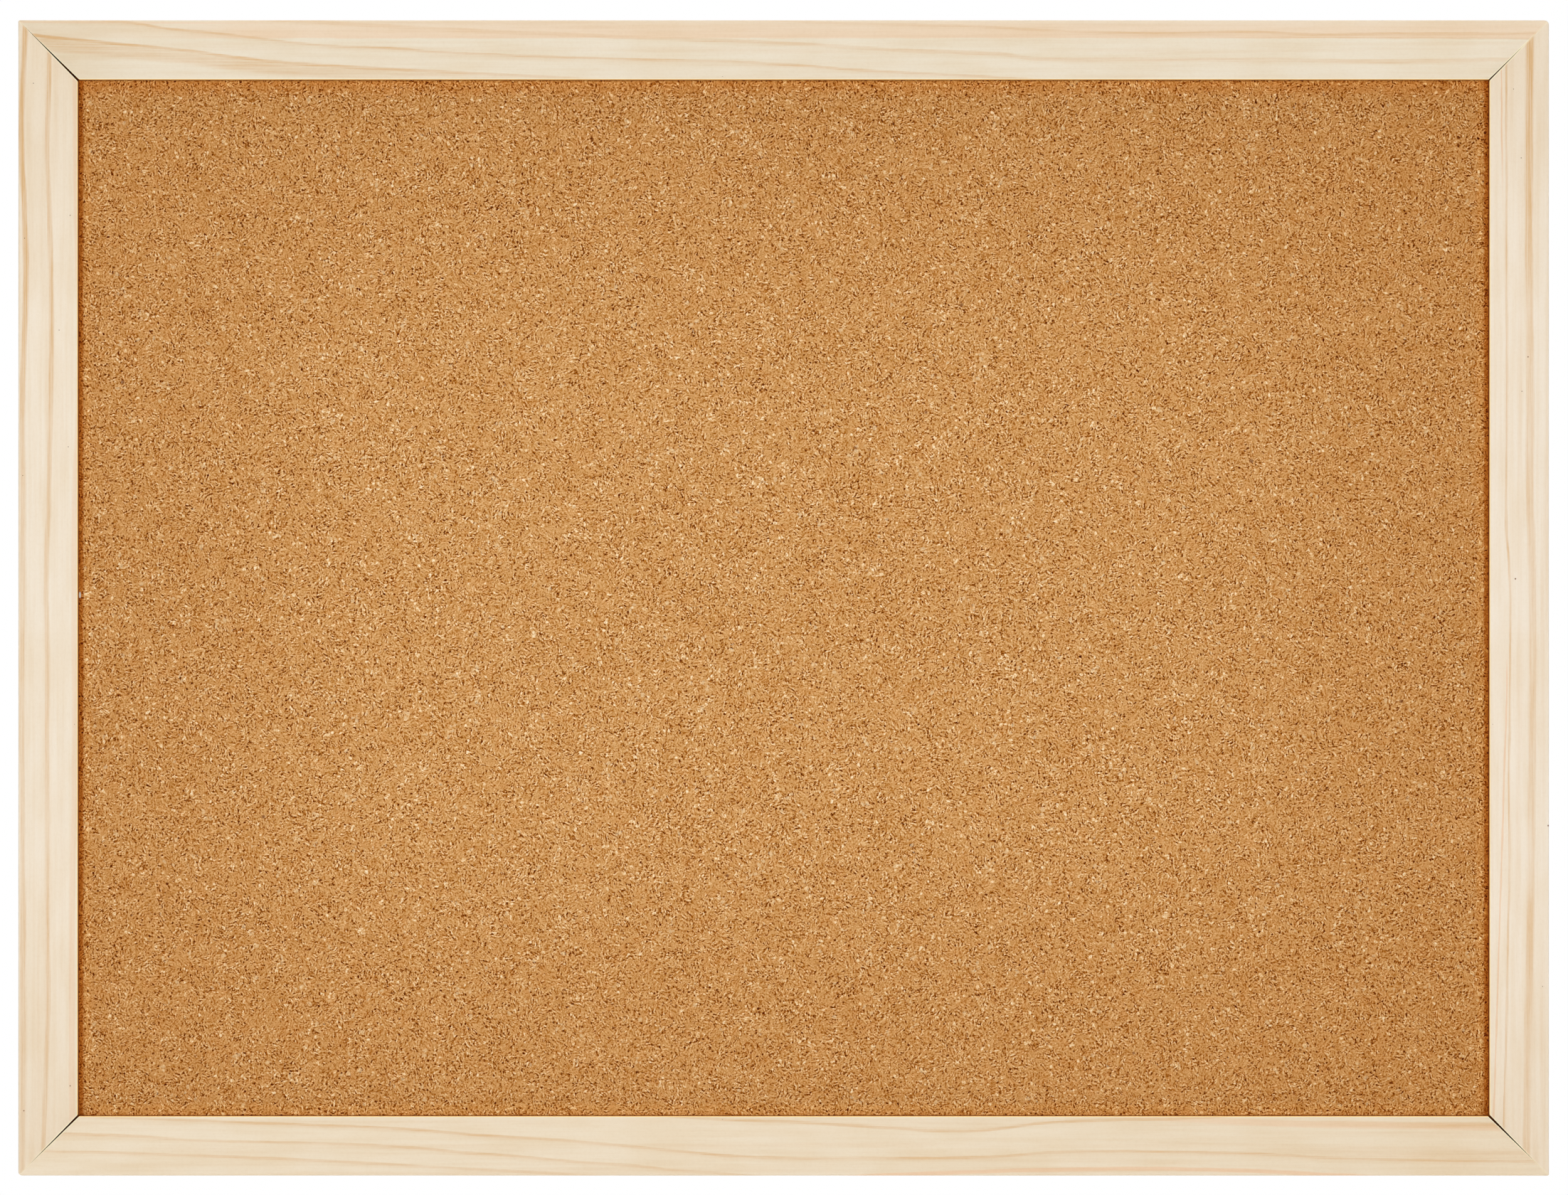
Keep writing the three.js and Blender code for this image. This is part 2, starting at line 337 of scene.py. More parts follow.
railLook = {
    "spare": 2.0,           # extra length that the mitre cuts take off
    "grooveDepth": 5.5,
    "lip": 2.5,             # wood in front of the groove and behind it
    "arris": 0.4,
    "sightArris": 0.1,      # the front edge round the cork is left sharp
    "arrisSteps": 3,
    "easing": 0.06,         # the tiny round on the mitres' edges
    "easedAngle": 38,
    "mitreSeam": 0.001,
    "openingDepth": 9.0,    # the mitres gape at the front and close this far behind it
    # How wide each mitre gapes at the cork, and the share of its length that is still closed
    "openings": {"top_left": (0.6, 0.1), "top_right": (0.35, 0.4), "bottom_right": (0.6, 0.25),
                 "bottom_left": (0.53, 0.2)},
    "cornerRadii": {"top_left": 0.6, "top_right": 1.4, "bottom_right": 0.5, "bottom_left": 1.2},
    "cornerCuts": 4,
    "loops": 48,
    "wander": 0.05,         # how far the planed faces dip from true
    "wanderSize": 24.0,
    "mitreKept": 0.6,       # the mitres themselves are true
    "nailPlaces": (3.03, 6.868),  # from both outer edges to the middle of a nail's steel
    "nailSteel": 0.5,
    "nailArm": 4.6,
    "nailDepth": 6.7,
    "nailRoom": 0.03,
    "holeSides": 24,        # the screw's hole in an upright rail
    "holeRadius": 1.52,
    "holeDepth": 8.0,
    "chipPlace": (0.52, 1.1, -268.9),  # past the right rail's edge, behind its front, and its height
    "chipSize": (0.85, 1.5, 1.45),
    "chipRagged": 0.3,
}

# Rail, the corner it starts from, the corner it ends at, and its turn about Y
railSides = [
    ("rail_top", "top_left", "top_right", 0),
    ("rail_right", "top_right", "bottom_right", 90),
    ("rail_bottom", "bottom_right", "bottom_left", 180),
    ("rail_left", "bottom_left", "top_left", -90),
]

boardLow, boardHigh = boxOf(*(side[0] for side in railSides))
boardSize = boardHigh - boardLow
boardMiddle = (boardLow + boardHigh) / 2
railDepth = boardSize.y
railWidth = boxOf("rail_top")[1].z - boxOf("rail_top")[0].z
railTexture = relief("planing", railLook["wanderSize"])


def railLength(turn):
    return boardSize.z if abs(turn) == 90 else boardSize.x


def railBlank(length):
    half = railWidth / 2
    reach = length / 2 + railLook["spare"]
    rail = block((-reach, -railDepth, -half), (reach, 0, half))
    edit(rail)
    grooveFront, grooveBack = railLook["lip"] - railDepth, -railLook["lip"]
    planeCut((0, grooveFront, 0), (0, 1, 0))
    planeCut((0, grooveBack, 0), (0, 1, 0))
    pick(rail, "FACE", lambda c, n: n.z < -0.5 and grooveFront < c.y < grooveBack)
    extrudeBy(0, 0, railLook["grooveDepth"])

    for arris, atSight in ((railLook["arris"], False), (railLook["sightArris"], True)):
        def isArris(a, b):
            middle = (a + b) / 2
            corner = isNear(abs(middle.z), half) and isNear(abs(middle.y + railDepth / 2), railDepth / 2)
            sight = middle.z < 0 and middle.y < -railDepth / 2
            return abs(a.x - b.x) > reach and corner and sight == atSight

        pick(rail, "EDGE", isArris)
        bpy.ops.mesh.bevel(offset=arris, segments=railLook["arrisSteps"], affect="EDGES")
    return rail


def mitre(length, end, radius, opening, closed):
    # end is -1 at the rail's start and 1 at its end. A second cut, tilted by a hair, opens the joint
    # towards the cork and the front, and meets the first along a slanting line.
    beyond = Vector((end, 0, -1)).normalized()
    inward = Vector((-end, 0, -1)).normalized()
    corner = Vector((end * length / 2, -railDepth, railWidth / 2)) - beyond * railLook["mitreSeam"]
    planeCut(corner, beyond, clear=True)
    reach = railWidth * math.sqrt(2)
    atFront = corner + inward * reach * closed
    atSight = corner + inward * reach
    atDepth = atSight + Vector((0, railLook["openingDepth"], 0))
    gaping = atSight - beyond * opening / 2
    away = (gaping - atFront).cross(atDepth - atFront).normalized()
    planeCut(gaping, away if away.dot(beyond) > 0 else -away, clear=True)
    # The worn corner, rounded in a few flat cuts
    centre = Vector((end * (length / 2 - radius), 0, railWidth / 2 - radius))
    for step in range(railLook["cornerCuts"]):
        angle = math.radians(45) * (step + 0.5) / railLook["cornerCuts"]
        away = Vector((end * math.sin(angle), 0, math.cos(angle)))
        planeCut(centre + away * radius, away, clear=True)


def nailSlot(length, end, place):
    room = railLook["nailRoom"]
    half = railLook["nailSteel"] / 2 + room
    ends = [end * (length / 2 - place + half), end * (length / 2 - place - railLook["nailArm"] - room)]
    across = railWidth / 2 - place
    return block((min(ends), -railLook["nailDepth"] - room, across - half), (max(ends), 1, across + half))


def knockChip(rail):
    x, y, z = railLook["chipPlace"]
    chip = begin(bpy.ops.mesh.primitive_ico_sphere_add, subdivisions=3, radius=1,
                 location=(boardHigh.x + x, -railDepth + y, z), scale=railLook["chipSize"])
    displace(chip, railTexture, railLook["chipRagged"])
    carve(rail, chip)


def makeRail(name, start, end, turn):
    length = railLength(turn)
    rail = railBlank(length)
    for direction, corner in ((-1, start), (1, end)):
        mitre(length, direction, railLook["cornerRadii"][corner], *railLook["openings"][corner])
    for step in range(1, railLook["loops"]):
        planeCut((length * (step / railLook["loops"] - 0.5), 0, 0), (1, 0, 0))
    done()

    def offMitre(place):
        return length / 2 - abs(place.x) - (railWidth / 2 - place.z) > railLook["mitreKept"]

    displace(rail, railTexture, railLook["wander"], 1.0, groupOf(rail, "sides", offMitre))
    rail.vertex_groups.clear()
    for direction in (-1, 1):
        for place in railLook["nailPlaces"]:
            carve(rail, nailSlot(length, direction, place))
    upright, angle = abs(turn) == 90, math.radians(turn)
    reach = (boardSize.x if upright else boardSize.z) / 2 - railWidth / 2
    rail.rotation_euler.y = angle
    rail.location = (math.sin(angle) * reach, 0, boardMiddle.z + math.cos(angle) * reach)
    freeze(rail)
    if upright:
        low, high = boxOf("hanger_screw_right" if turn > 0 else "hanger_screw_left")
        drill(rail, railLook, (low.x + high.x) / 2, (low.z + high.z) / 2)
    if name == "rail_right":
        knockChip(rail)
    ease(rail, railLook["easing"], railLook["easedAngle"])
    return rail


# Pine. A place on a rail is measured along it, down from its front face and in from its outer edge.

pineLook = {
    "tilt": 0.35,           # how far a ring moves across for each millimetre of depth
    "waver": 0.4,           # how far a ring strays from its line
    "feather": 0.55,        # how ragged its edges are
    "faintRings": (0.5, 0.75, 0, 0.16),  # they fill the wood between the lines
    "bases": {"rail_top": paint(236, 224, 203), "rail_bottom": paint(237, 222, 198),
              "rail_left": paint(242, 229, 210), "rail_right": paint(242, 229, 211)},
    # The wood deepens along these stretches of each rail, from the first place to the second
    "deepening": {"rail_top": ((40, 10),), "rail_bottom": ((120, 620),),
                  "rail_left": ((85, 5), (215, 300)), "rail_right": ((75, 5), (225, 300))},
    "deeper": (0.94, 0.91, 0.86, 1),
    "ring": paint(222, 184, 136),
    "blush": paint(237, 201, 166),
    "speck": paint(118, 72, 36),
    # Painted highlight on the sharp lips of open mitres and round the cork
    "bright": paint(255, 244, 205),
    # Painted warm glint on the very edge round the cork
    "glint": paint(240, 186, 92),
    # Painted shade on the wall below the edge round the cork
    "wallshade": paint(120, 52, 0),
    # Painted shade inside open mitres
    "gap": paint(72, 26, 6),
    # Greyer outer edges
    "greyed": paint(214, 194, 163),
    # How strongly each mask of the rail's edges shows: greyer outer edges, painted highlight, painted warm
    # glint and painted shade
    "edges": {"Greyed": 0.45, "Bright": 0.9, "Glint": 0.9, "WallShade": 0.95, "Gap": 0.97},
    # How fine each pattern is along the rail, in depth and across, its detail and its roughness
    "patterns": {
        "stray": ((0.06, 0.25, 0.25), 3, 0.55),
        "ragged": ((0.11, 2.4, 2.4), 2, 0.6),
        "vary": ((0.035, 0.2, 0.2), 2, 0.5),
        "faint": ((0.012, 0.12, 0.34), 1, 0.5),
        "streak": ((0.022, 0.9, 0.9), 2, 0.5),
        "strand": ((0.035, 2.4, 2.4), 2, 0.6),
        "fibre": ((0.3, 4.5, 4.5), 2, 0.6),
        "sanding": ((1.2, 1.3, 1.3), 2, 0.55),
    },
    # Where a pattern starts to show, where it is full, and its tint
    "shades": {
        "blotch": (0.35, 0.7, (0.975, 0.95, 0.91, 1)),
        "streak": (0.40, 0.70, (0.975, 0.95, 0.91, 1)),
        "fibre": (0.42, 0.75, (0.985, 0.975, 0.955, 1)),
        "sanding": (0.42, 0.72, (0.985, 0.978, 0.966, 1)),
    },
    "blotchSize": 7.0,
    # How much of a ring shows, from one value of a pattern to another
    "stranded": (0.34, 0.66, 0.6, 1.25),
    "fibrous": (0.2, 0.8, 0.85, 1.1),
    "varied": (0.3, 0.7, 0.7, 1.1),
    "dotSpacing": 5.5,      # faint resin dots besides the specks of the photo
    "dotOften": 0.2,
    "dotRadius": (0.026, 0.012),
    "dotStrength": 0.5,
    "speckDepth": (0.7, 0.4),  # specks show on the front face alone
    "sheen": (0.2, 0.8, 0.58, 0.72),
    "nap": 0.02,
}

# How each rail lies: scale and turn that bring object places to rail places, and its offset
railLies = {
    "rail_top": ((metre, metre, -metre), 0, (boardHigh.x, railDepth, boardHigh.z)),
    "rail_bottom": ((metre, metre, metre), 0, (boardHigh.x, railDepth, -boardLow.z)),
    "rail_left": ((-metre, metre, -metre), 90, (boardHigh.z, railDepth, boardHigh.x)),
    "rail_right": ((metre, metre, -metre), 90, (boardHigh.z, railDepth, boardHigh.x)),
}

# Growth rings: tint, half width, soft side, strength, where and to what it fades, and its line as
# places along and across the rail, in millimetres
ringLines = {
    "rail_top": [
        ("ring", 0.5, 4.2, 0.95, (60, 150, 0.45), [(0, 3.5), (4.5, 4.1), (26, 6.2), (45, 8.1), (57, 9.8),
         (70, 11.2), (82, 12), (98, 12.9), (110, 13.5), (134, 14.7), (170, 16.4), (400, 19)]),
        ("ring", 2.0, 2.0, 0.55, (50, 125, 0.1), [(0, 5.4), (4.5, 6), (26, 8), (45, 9.8), (57, 11.3),
         (70, 12.6), (82, 13.4), (98, 14.4), (110, 15), (134, 16.2), (400, 22)]),
        ("blush", 0.01, -9.0, 0.2, (36, 62, 1.0), [(0, 4.7), (400, 4.7)]),
        ("blush", 0.3, 0.8, 0.45, (60, 90, 0.0), [(0, 0.4), (60, 0.8), (400, 0.8)]),
        ("ring", 0.42, 1.8, 0.6, None, [(0, -2), (15, -0.5), (32, 1.1), (38, 2.2), (51, 3.4), (57, 4.1),
         (66, 5.2), (82, 6.8), (98, 7.4), (110, 8.4), (129, 9.2), (160, 10.3), (172, 10.5), (200, 11.6),
         (212, 12.5), (231, 13.7), (256, 15), (285, 16.6), (400, 20)]),
        ("ring", 0.6, 1.5, 0.42, None, [(0, -4), (60, -0.6), (98, 1.7), (110, 2.3), (135, 3.5), (160, 4.5),
         (200, 6.1), (219, 7.2), (237, 8.2), (256, 8.8), (268, 10.2), (302, 10.3), (333, 10.5),
         (346, 10.8), (386, 10.4), (400, 10.2)]),
        ("ring", 0.2, 0.5, 0.05, (300, 350, 0.55), [(0, 4.4), (300, 4.4), (400, 4.9)]),
        ("ring", 0.4, 1.6, 0.4, (220, 330, 0.6), [(0, -9), (180, -1), (212, 0.7), (237, 1.3), (256, 1.9),
         (268, 2.7), (302, 3.4), (321, 3.1), (340, 3.8), (358, 3.6), (395, 3.5), (400, 3.5)]),
    ],
    "rail_bottom": [
        ("ring", 0.45, -1.6, 0.6, None, [(0, 16.5), (23, 15.4), (76, 13.3), (98, 12.4), (122, 10.5),
         (141, 9.3), (160, 7.7), (172, 6.5), (200, 4.7), (225, 4.7), (237, 4.6), (256, 5), (274, 6.3),
         (302, 6.2), (324, 5.7), (346, 4.6), (364, 4.1), (395, 3.8), (400, 3.8)]),
        ("ring", 0.45, -1.8, 0.52, None, [(0, 11), (14, 10.9), (29, 10.5), (48, 9.1), (73, 8.6), (98, 7.7),
         (116, 6.1), (129, 5.2), (144, 3.8), (160, 2.7), (172, 1.4), (184, 0.6), (200, -0.6), (400, -8)]),
        ("ring", 0.45, -1.6, 0.5, None, [(0, 6.4), (7, 6.4), (23, 6), (63, 4.7), (98, 2.9), (116, 1.8),
         (141, 0.6), (160, -0.6), (400, -9)]),
        ("ring", 0.45, 1.4, 0.68, None, [(0, 26), (150, 17.5), (184, 14.7), (200, 14.2), (215, 13.3),
         (231, 12.3), (246, 11.7), (256, 12.3), (268, 13.8), (281, 14.5), (302, 14.9), (325, 16.2),
         (400, 20)]),
        ("ring", 0.9, 0.2, 0.1, (325, 352, 0.5), [(0, 13.6), (340, 13.6), (400, 12.8)]),
        ("ring", 2.1, 0.3, 0.02, (320, 350, 0.28), [(0, 5.6), (340, 5.8), (400, 5.3)]),
        ("blush", 1.0, 1.5, 0.45, None, [(0, 30), (285, 16.2), (302, 15), (315, 14.4), (333, 13.6),
         (358, 13.1), (386, 12.6), (400, 12.4)]),
        ("blush", 0.6, 0.8, 0.75, None, [(0, -9), (200, -1.2), (228, 0.2), (268, 1.5), (302, 1.8),
         (324, 1.2), (345, 0.1), (370, -1), (400, -2)]),
    ],
    "rail_left": [
        ("ring", 0.72, -1.6, 0.75, (90, 140, 0.55), [(0, 8.4), (9, 8.2), (20, 7.9), (32, 7.6), (51, 8.2),
         (69, 8.6), (98, 8.5), (124, 8), (149, 7.3), (161, 7.5), (202, 7.6), (228, 7.6),
         (259, 7.8), (271, 7.4), (295, 6.5), (302, 6.3)]),
        ("ring", 0.8, 0.8, 0.95, (60, 125, 0.55), [(0, 1.9), (6, 1.7), (31, 0.9), (50, 1.7), (64, 2),
         (98, 1.2), (139, 1.3), (180, 0.9), (203, 1.2), (295, 1.2), (302, 1.2)]),
        ("blush", 0.9, -1.2, 0.55, (90, 130, 0.4), [(0, 14.9), (50, 15.3), (90, 16.2), (130, 14.8),
         (200, 14.8), (228, 14.2), (285, 14.1), (302, 14.1)]),
    ],
    "rail_right": [
        ("ring", 1.12, 0.0, 0.95, (20, 100, 0.55), [(0, 5.1), (20, 5.1), (65, 5.3), (98, 4.85), (118, 5.1),
         (143, 4.45), (174, 4.35), (203, 4.55), (235, 4.9), (265, 5.45), (293, 5.9), (302, 6)]),
        ("blush", 0.22, 0.1, 0.8, (30, 48, 0.0), [(0, 12.6), (20, 12.4), (302, 11)]),
        ("blush", 0.25, 0.1, 0.02, (165, 172, 0.7), [(0, 11.1), (172, 11.0), (186, 11.4), (302, 15)]),
        ("ring", 0.33, -0.7, 0.6, None, [(0, 11.2), (16, 11.2), (70, 11.2), (98, 11), (118, 11.2),
         (133, 11.2), (143, 10.4), (203, 10.5), (222, 10.4), (235, 10.7), (265, 11.2), (288, 11.8),
         (302, 12)]),
    ],
}

# Resin specks that the photo shows: along and across, in millimetres, and their radius
specks = {
    "rail_top": [],
    "rail_bottom": [],
    "rail_left": [(51, 13.6, 0.17), (81, 10.7, 0.15), (16.5, 4.0, 0.15), (57, 1.7, 0.15),
                  (111.5, 13.1, 0.15), (119, 1.2, 0.15), (278.5, 13.6, 0.2), (285, 1.5, 0.2)],
    "rail_right": [(36, 7.3, 0.16), (18, 9.3, 0.14), (88, 5.5, 0.22), (97, 7.1, 0.15), (146, 8.8, 0.27),
                   (252.5, 1.7, 0.15), (210.5, 0.2, 0.3)],
}


def ringLineGroup():
    tree, given, result = newGroup("ringLine", [
        ("Across", "Float", 0), ("Centre", "Float", 0), ("Half Width", "Float", 0.5),
        ("Soft Side", "Float", 0), ("Strength", "Float", 1)], [("Mask", "Float")])
    offset = minus(tree, given["Across"], given["Centre"])
    away = maths(tree, "ABSOLUTE", offset)
    half = given["Half Width"]
    core = ranged(tree, away, times(tree, half, 1.25), times(tree, half, 0.45))
    side = maths(tree, "DIVIDE", offset, given["Soft Side"])
    skirt = times(tree, ranged(tree, side, 0, 1, 0.5, 0), maths(tree, "GREATER_THAN", side, 0))
    feed(tree, times(tree, maths(tree, "MAXIMUM", core, skirt), given["Strength"]), result["Mask"])
    return tree


# Ramps near a rail's edges, for its greyer outer edges, painted highlight, painted glint and painted
# shade, in millimetres: where each starts and ends, and the values there
edgeLook = {
    "front": (0.3, 0.2),    # on the front face, by depth
    "lip": (0.34, 0.2),     # from an open mitre, and fading along it to the outer corner
    "lipAlong": (0.2, 0.5, 0.15, 0.6),
    "sight": (0.34, 0.24),  # from the edge round the cork
    # Painted warm glint on the very edge round the cork, on the front and the top of its wall
    "glint": (0.19, 0.13),
    "glintDeep": (0.5, 0.4),
    # Painted shade on the wall below the edge round the cork, deeper than its front
    "wall": (0.07, 0.04),
    "wallDeep": (0.25, 0.7),
    # Painted shade inside an open mitre
    "gap": (0.32, 0.28),    # from the mitre, behind the front and short of the back
    "gapFront": (0.05, 0.09),
    "gapBack": (11.9, 11.8),
    "gapOuter": (0.5, 1.0),
    "greyed": (0.75, 0.3),    # from the outer edge, less on the front face and far behind it
    "greyedFront": (0.2, 1.0, 0.25, 1),
    "greyedBack": (1.2, 3.5, 1, 0.15),
    "wobbleSize": 3.0,
    "wobble": 0.5,
}


def railEdgeGroup():
    # Masks of a rail's edges: painted highlight on the sharp lips of open mitres and round the cork, a
    # painted warm glint on the very edge round the cork, painted shade on the wall below it and inside an
    # open mitre, and outer edges that are greyer, less on the front face and far behind it.
    tree, given, result = newGroup("railEdge", [
        ("Place", "Vector", None), ("Length", "Float", 400), ("Start Opening", "Float", 0.3),
        ("Start Closed", "Float", 0.2), ("End Opening", "Float", 0.3), ("End Closed", "Float", 0.2)],
        [(label, "Float") for label in ("Bright", "Glint", "WallShade", "Gap", "Greyed")])
    along, depth, across = split(tree, given["Place"])
    fromEnd = minus(tree, given["Length"], along)
    toEnd = maths(tree, "MINIMUM", along, fromEnd)
    toMitre = times(tree, minus(tree, toEnd, across), math.sqrt(0.5))
    toSight = minus(tree, railWidth, across)
    atEnd = maths(tree, "LESS_THAN", fromEnd, along)

    def endValue(name):
        start, end = given["Start " + name], given["End " + name]
        return timesPlus(tree, minus(tree, end, start), atEnd, start)

    def ramp(name, value):
        return ranged(tree, value, *edgeLook[name])

    inward = maths(tree, "DIVIDE", across, railWidth)
    closed = endValue("Closed")
    opened = maths(tree, "DIVIDE", minus(tree, inward, closed), minus(tree, 1, closed), clamp=True)
    half = times(tree, times(tree, opened, endValue("Opening")), 0.5)
    toLip = minus(tree, toMitre, half)
    # Painted highlight on the front face, along open mitres and round the cork
    front = ramp("front", depth)
    lip = times(tree, ramp("lip", toLip), ramp("lipAlong", inward))
    bright = maths(tree, "MAXIMUM", lip, ramp("sight", toSight))
    feed(tree, times(tree, bright, front), result["Bright"])
    # Painted warm glint on the very edge round the cork
    feed(tree, times(tree, ramp("glint", toSight), ramp("glintDeep", depth)), result["Glint"])
    # Painted shade on the wall below it
    feed(tree, times(tree, ramp("wall", toSight), ramp("wallDeep", depth)), result["WallShade"])
    # Painted shade inside an open mitre
    inside = times(tree, ramp("gap", toMitre), ramp("gapFront", depth))
    inside = times(tree, inside, ramp("gapBack", depth))
    feed(tree, times(tree, inside, ramp("gapOuter", across)), result["Gap"])
    # Greyer outer edges, most just behind the front, with a ragged line
    wobble = noise(tree, given["Place"], edgeLook["wobbleSize"], 3)
    outer = ramp("greyed", maths(tree, "ADD", across, times(tree, wobble, edgeLook["wobble"])))
    outer = times(tree, outer, ramp("greyedFront", depth))
    feed(tree, times(tree, outer, ramp("greyedBack", depth)), result["Greyed"])
    return tree


def grainOf(tree, place, name):
    scale, detail, roughness = pineLook["patterns"][name]
    return patterned(tree, place, scale, detail, roughness)


def shaded(tree, colour, name, pattern):
    low, high, tint = pineLook["shades"][name]
    return mixed(tree, ranged(tree, pattern, low, high), colour, tint, "MULTIPLY")


def pineGroup():
    tree, given, result = newGroup("pineGrain", [
        ("Place", "Vector", None), ("Ring", "Float", 0), ("Blush", "Float", 0), ("Speck", "Float", 0),
        ("Base", "Color", (1, 1, 1, 1))],
        [("Color", "Color"), ("Roughness", "Float"), ("Height", "Float")])
    place = given["Place"]
    streak, fibre = grainOf(tree, place, "streak"), grainOf(tree, place, "fibre")
    blotch = noise(tree, mapped(tree, place, scale=(0.35, 1, 1)), pineLook["blotchSize"])
    sanding = grainOf(tree, place, "sanding")
    colour = shaded(tree, given["Base"], "blotch", blotch)
    # The rings break up into strands
    strand = grainOf(tree, place, "strand")
    ring = times(tree, given["Ring"], ranged(tree, strand, *pineLook["stranded"]))
    ring = times(tree, ring, ranged(tree, fibre, *pineLook["fibrous"]), clamp=True)
    colour = mixed(tree, given["Blush"], colour, pineLook["blush"])
    colour = mixed(tree, ring, colour, pineLook["ring"])
    for name, pattern in (("streak", streak), ("fibre", fibre), ("sanding", sanding)):
        colour = shaded(tree, colour, name, pattern)
    cell = cells(tree, mapped(tree, place, scale=(0.6, 1, 1)), pineLook["dotSpacing"])
    dot = spots(tree, cell, 0, pineLook["dotOften"], *pineLook["dotRadius"])
    dot = maths(tree, "MAXIMUM", times(tree, dot, pineLook["dotStrength"]), given["Speck"])
    feed(tree, mixed(tree, dot, colour, pineLook["speck"]), result["Color"])
    feed(tree, ranged(tree, sanding, *pineLook["sheen"]), result["Roughness"])
    height = maths(tree, "ADD", times(tree, fibre, 0.55), times(tree, sanding, 0.45))
    feed(tree, height, result["Height"])
    return tree


ringLine, railEdge, pineGrain = ringLineGroup(), railEdgeGroup(), pineGroup()


def lineCurve(tree, share, length, line):
    # A line drawn through its points: how far across the rail for a share of its length
    curve = addNode(tree, "FloatCurve", {1: share})
    curve.mapping.use_clip = False
    points = curve.mapping.curves[0].points
    while len(points) < len(line):
        points.new(0.5, 0.5)
    for point, (a, b) in zip(points, line):
        point.location = (a / length, b / railWidth)
    curve.mapping.update()
    return times(tree, curve.outputs[0], railWidth)


def ringMasks(tree, rail, length, place):
    along, depth, across = split(tree, place)
    stray, ragged, vary = (grainOf(tree, place, name) for name in ("stray", "ragged", "vary"))
    lineAcross = timesPlus(tree, depth, pineLook["tilt"], across)
    for waver, amount in ((stray, pineLook["waver"]), (ragged, pineLook["feather"])):
        lineAcross = stirred(tree, waver, amount, lineAcross)
    share = maths(tree, "DIVIDE", along, length)
    masks = {"ring": None, "blush": None}
    for tint, halfWidth, softSide, strength, fade, line in ringLines[rail]:
        if fade:
            strength = ranged(tree, along, fade[0], fade[1], strength, fade[2])
        mask = placeGroup(tree, ringLine, **{
            "Across": lineAcross, "Centre": lineCurve(tree, share, length, line), "Half Width": halfWidth,
            "Soft Side": softSide, "Strength": strength})["Mask"]
        masks[tint] = maths(tree, "MAXIMUM", masks[tint], mask) if masks[tint] else mask
    ring = times(tree, masks["ring"], ranged(tree, vary, *pineLook["varied"]))
    faint = ranged(tree, grainOf(tree, place, "faint"), *pineLook["faintRings"])
    ring = maths(tree, "MAXIMUM", ring, faint)
    speck = 0.0
    for a, b, radius in specks[rail]:
        away = maths(tree, "POWER", minus(tree, along, a), 2)
        away = maths(tree, "ADD", away, maths(tree, "POWER", minus(tree, across, b), 2))
        spot = ranged(tree, maths(tree, "SQRT", away), radius, radius * 0.5)
        speck = maths(tree, "MAXIMUM", speck, spot)
    speck = times(tree, speck, ranged(tree, depth, *pineLook["speckDepth"]))
    return along, {"Ring": ring, "Blush": masks["blush"] or 0.0, "Speck": speck}


def pineMaterial(rail, length, start, end):
    material, tree, shader, objectPlace = newMaterial(rail + "_pine", Specular_IOR_Level=0.25)
    scale, turn, move = railLies[rail]
    place = mapped(tree, objectPlace, move, (0, turn, 0), scale)
    along, masks = ringMasks(tree, rail, length, place)
    grain = placeGroup(tree, pineGrain, Place=place, **masks, Base=pineLook["bases"][rail])
    edge = placeGroup(tree, railEdge, **{
        "Place": place, "Length": length, "Start Opening": start[0], "Start Closed": start[1],
        "End Opening": end[0], "End Closed": end[1]})
    colour = grain["Color"]
    for first, last in pineLook["deepening"][rail]:
        colour = mixed(tree, ranged(tree, along, first, last), colour, pineLook["deeper"], "MULTIPLY")
    # The rail's edges: greyer outer edges, painted highlight, a painted warm glint, and painted shade on
    # the sight wall and in open mitres
    for name, strength in pineLook["edges"].items():
        colour = mixed(tree, times(tree, edge[name], strength), colour, pineLook[name.lower()])
    feed(tree, colour, shader.inputs["Base Color"])
    feed(tree, grain["Roughness"], shader.inputs["Roughness"])
    bumped(tree, shader, grain["Height"], pineLook["nap"])
    return material


for rail, startName, endName, railTurn in railSides:
    # A material measures along its rail from the left or from the top
    corners = (startName, endName) if rail in ("rail_top", "rail_right") else (endName, startName)
    openings = [railLook["openings"][corner] for corner in corners]
    pine = pineMaterial(rail, railLength(railTurn), *openings)
    settle(makeRail(rail, startName, endName, railTurn), rail.replace("rail_", "") + "Rail", pine,
           "pine", "board", rail)
print("rails made")


# Flat sheets: a fine grid over one face, drawn back to the other

def sheetFace(node, look, front):
    low, high = boxOf(node)
    size, middle = high - low, (low + high) / 2
    turn, depth = (math.pi / 2, low.y) if front else (-math.pi / 2, high.y)
    return begin(bpy.ops.mesh.primitive_grid_add, x_subdivisions=look["columns"],
                 y_subdivisions=look["rows"], size=1, rotation=(turn, 0, 0),
                 location=(middle.x, depth, middle.z), scale=(size.x, size.z, 1))


def thicken(sheet, depth):
    edit(sheet)
    bpy.ops.mesh.region_to_loop()
    bpy.ops.mesh.extrude_edges_move(TRANSFORM_OT_translate={"value": (0, depth, 0)})
    bpy.ops.mesh.edge_face_add()
    faceOutwards()
    done()


# Cork sheet, with the granules' relief, which keeps flat where the rails hold it

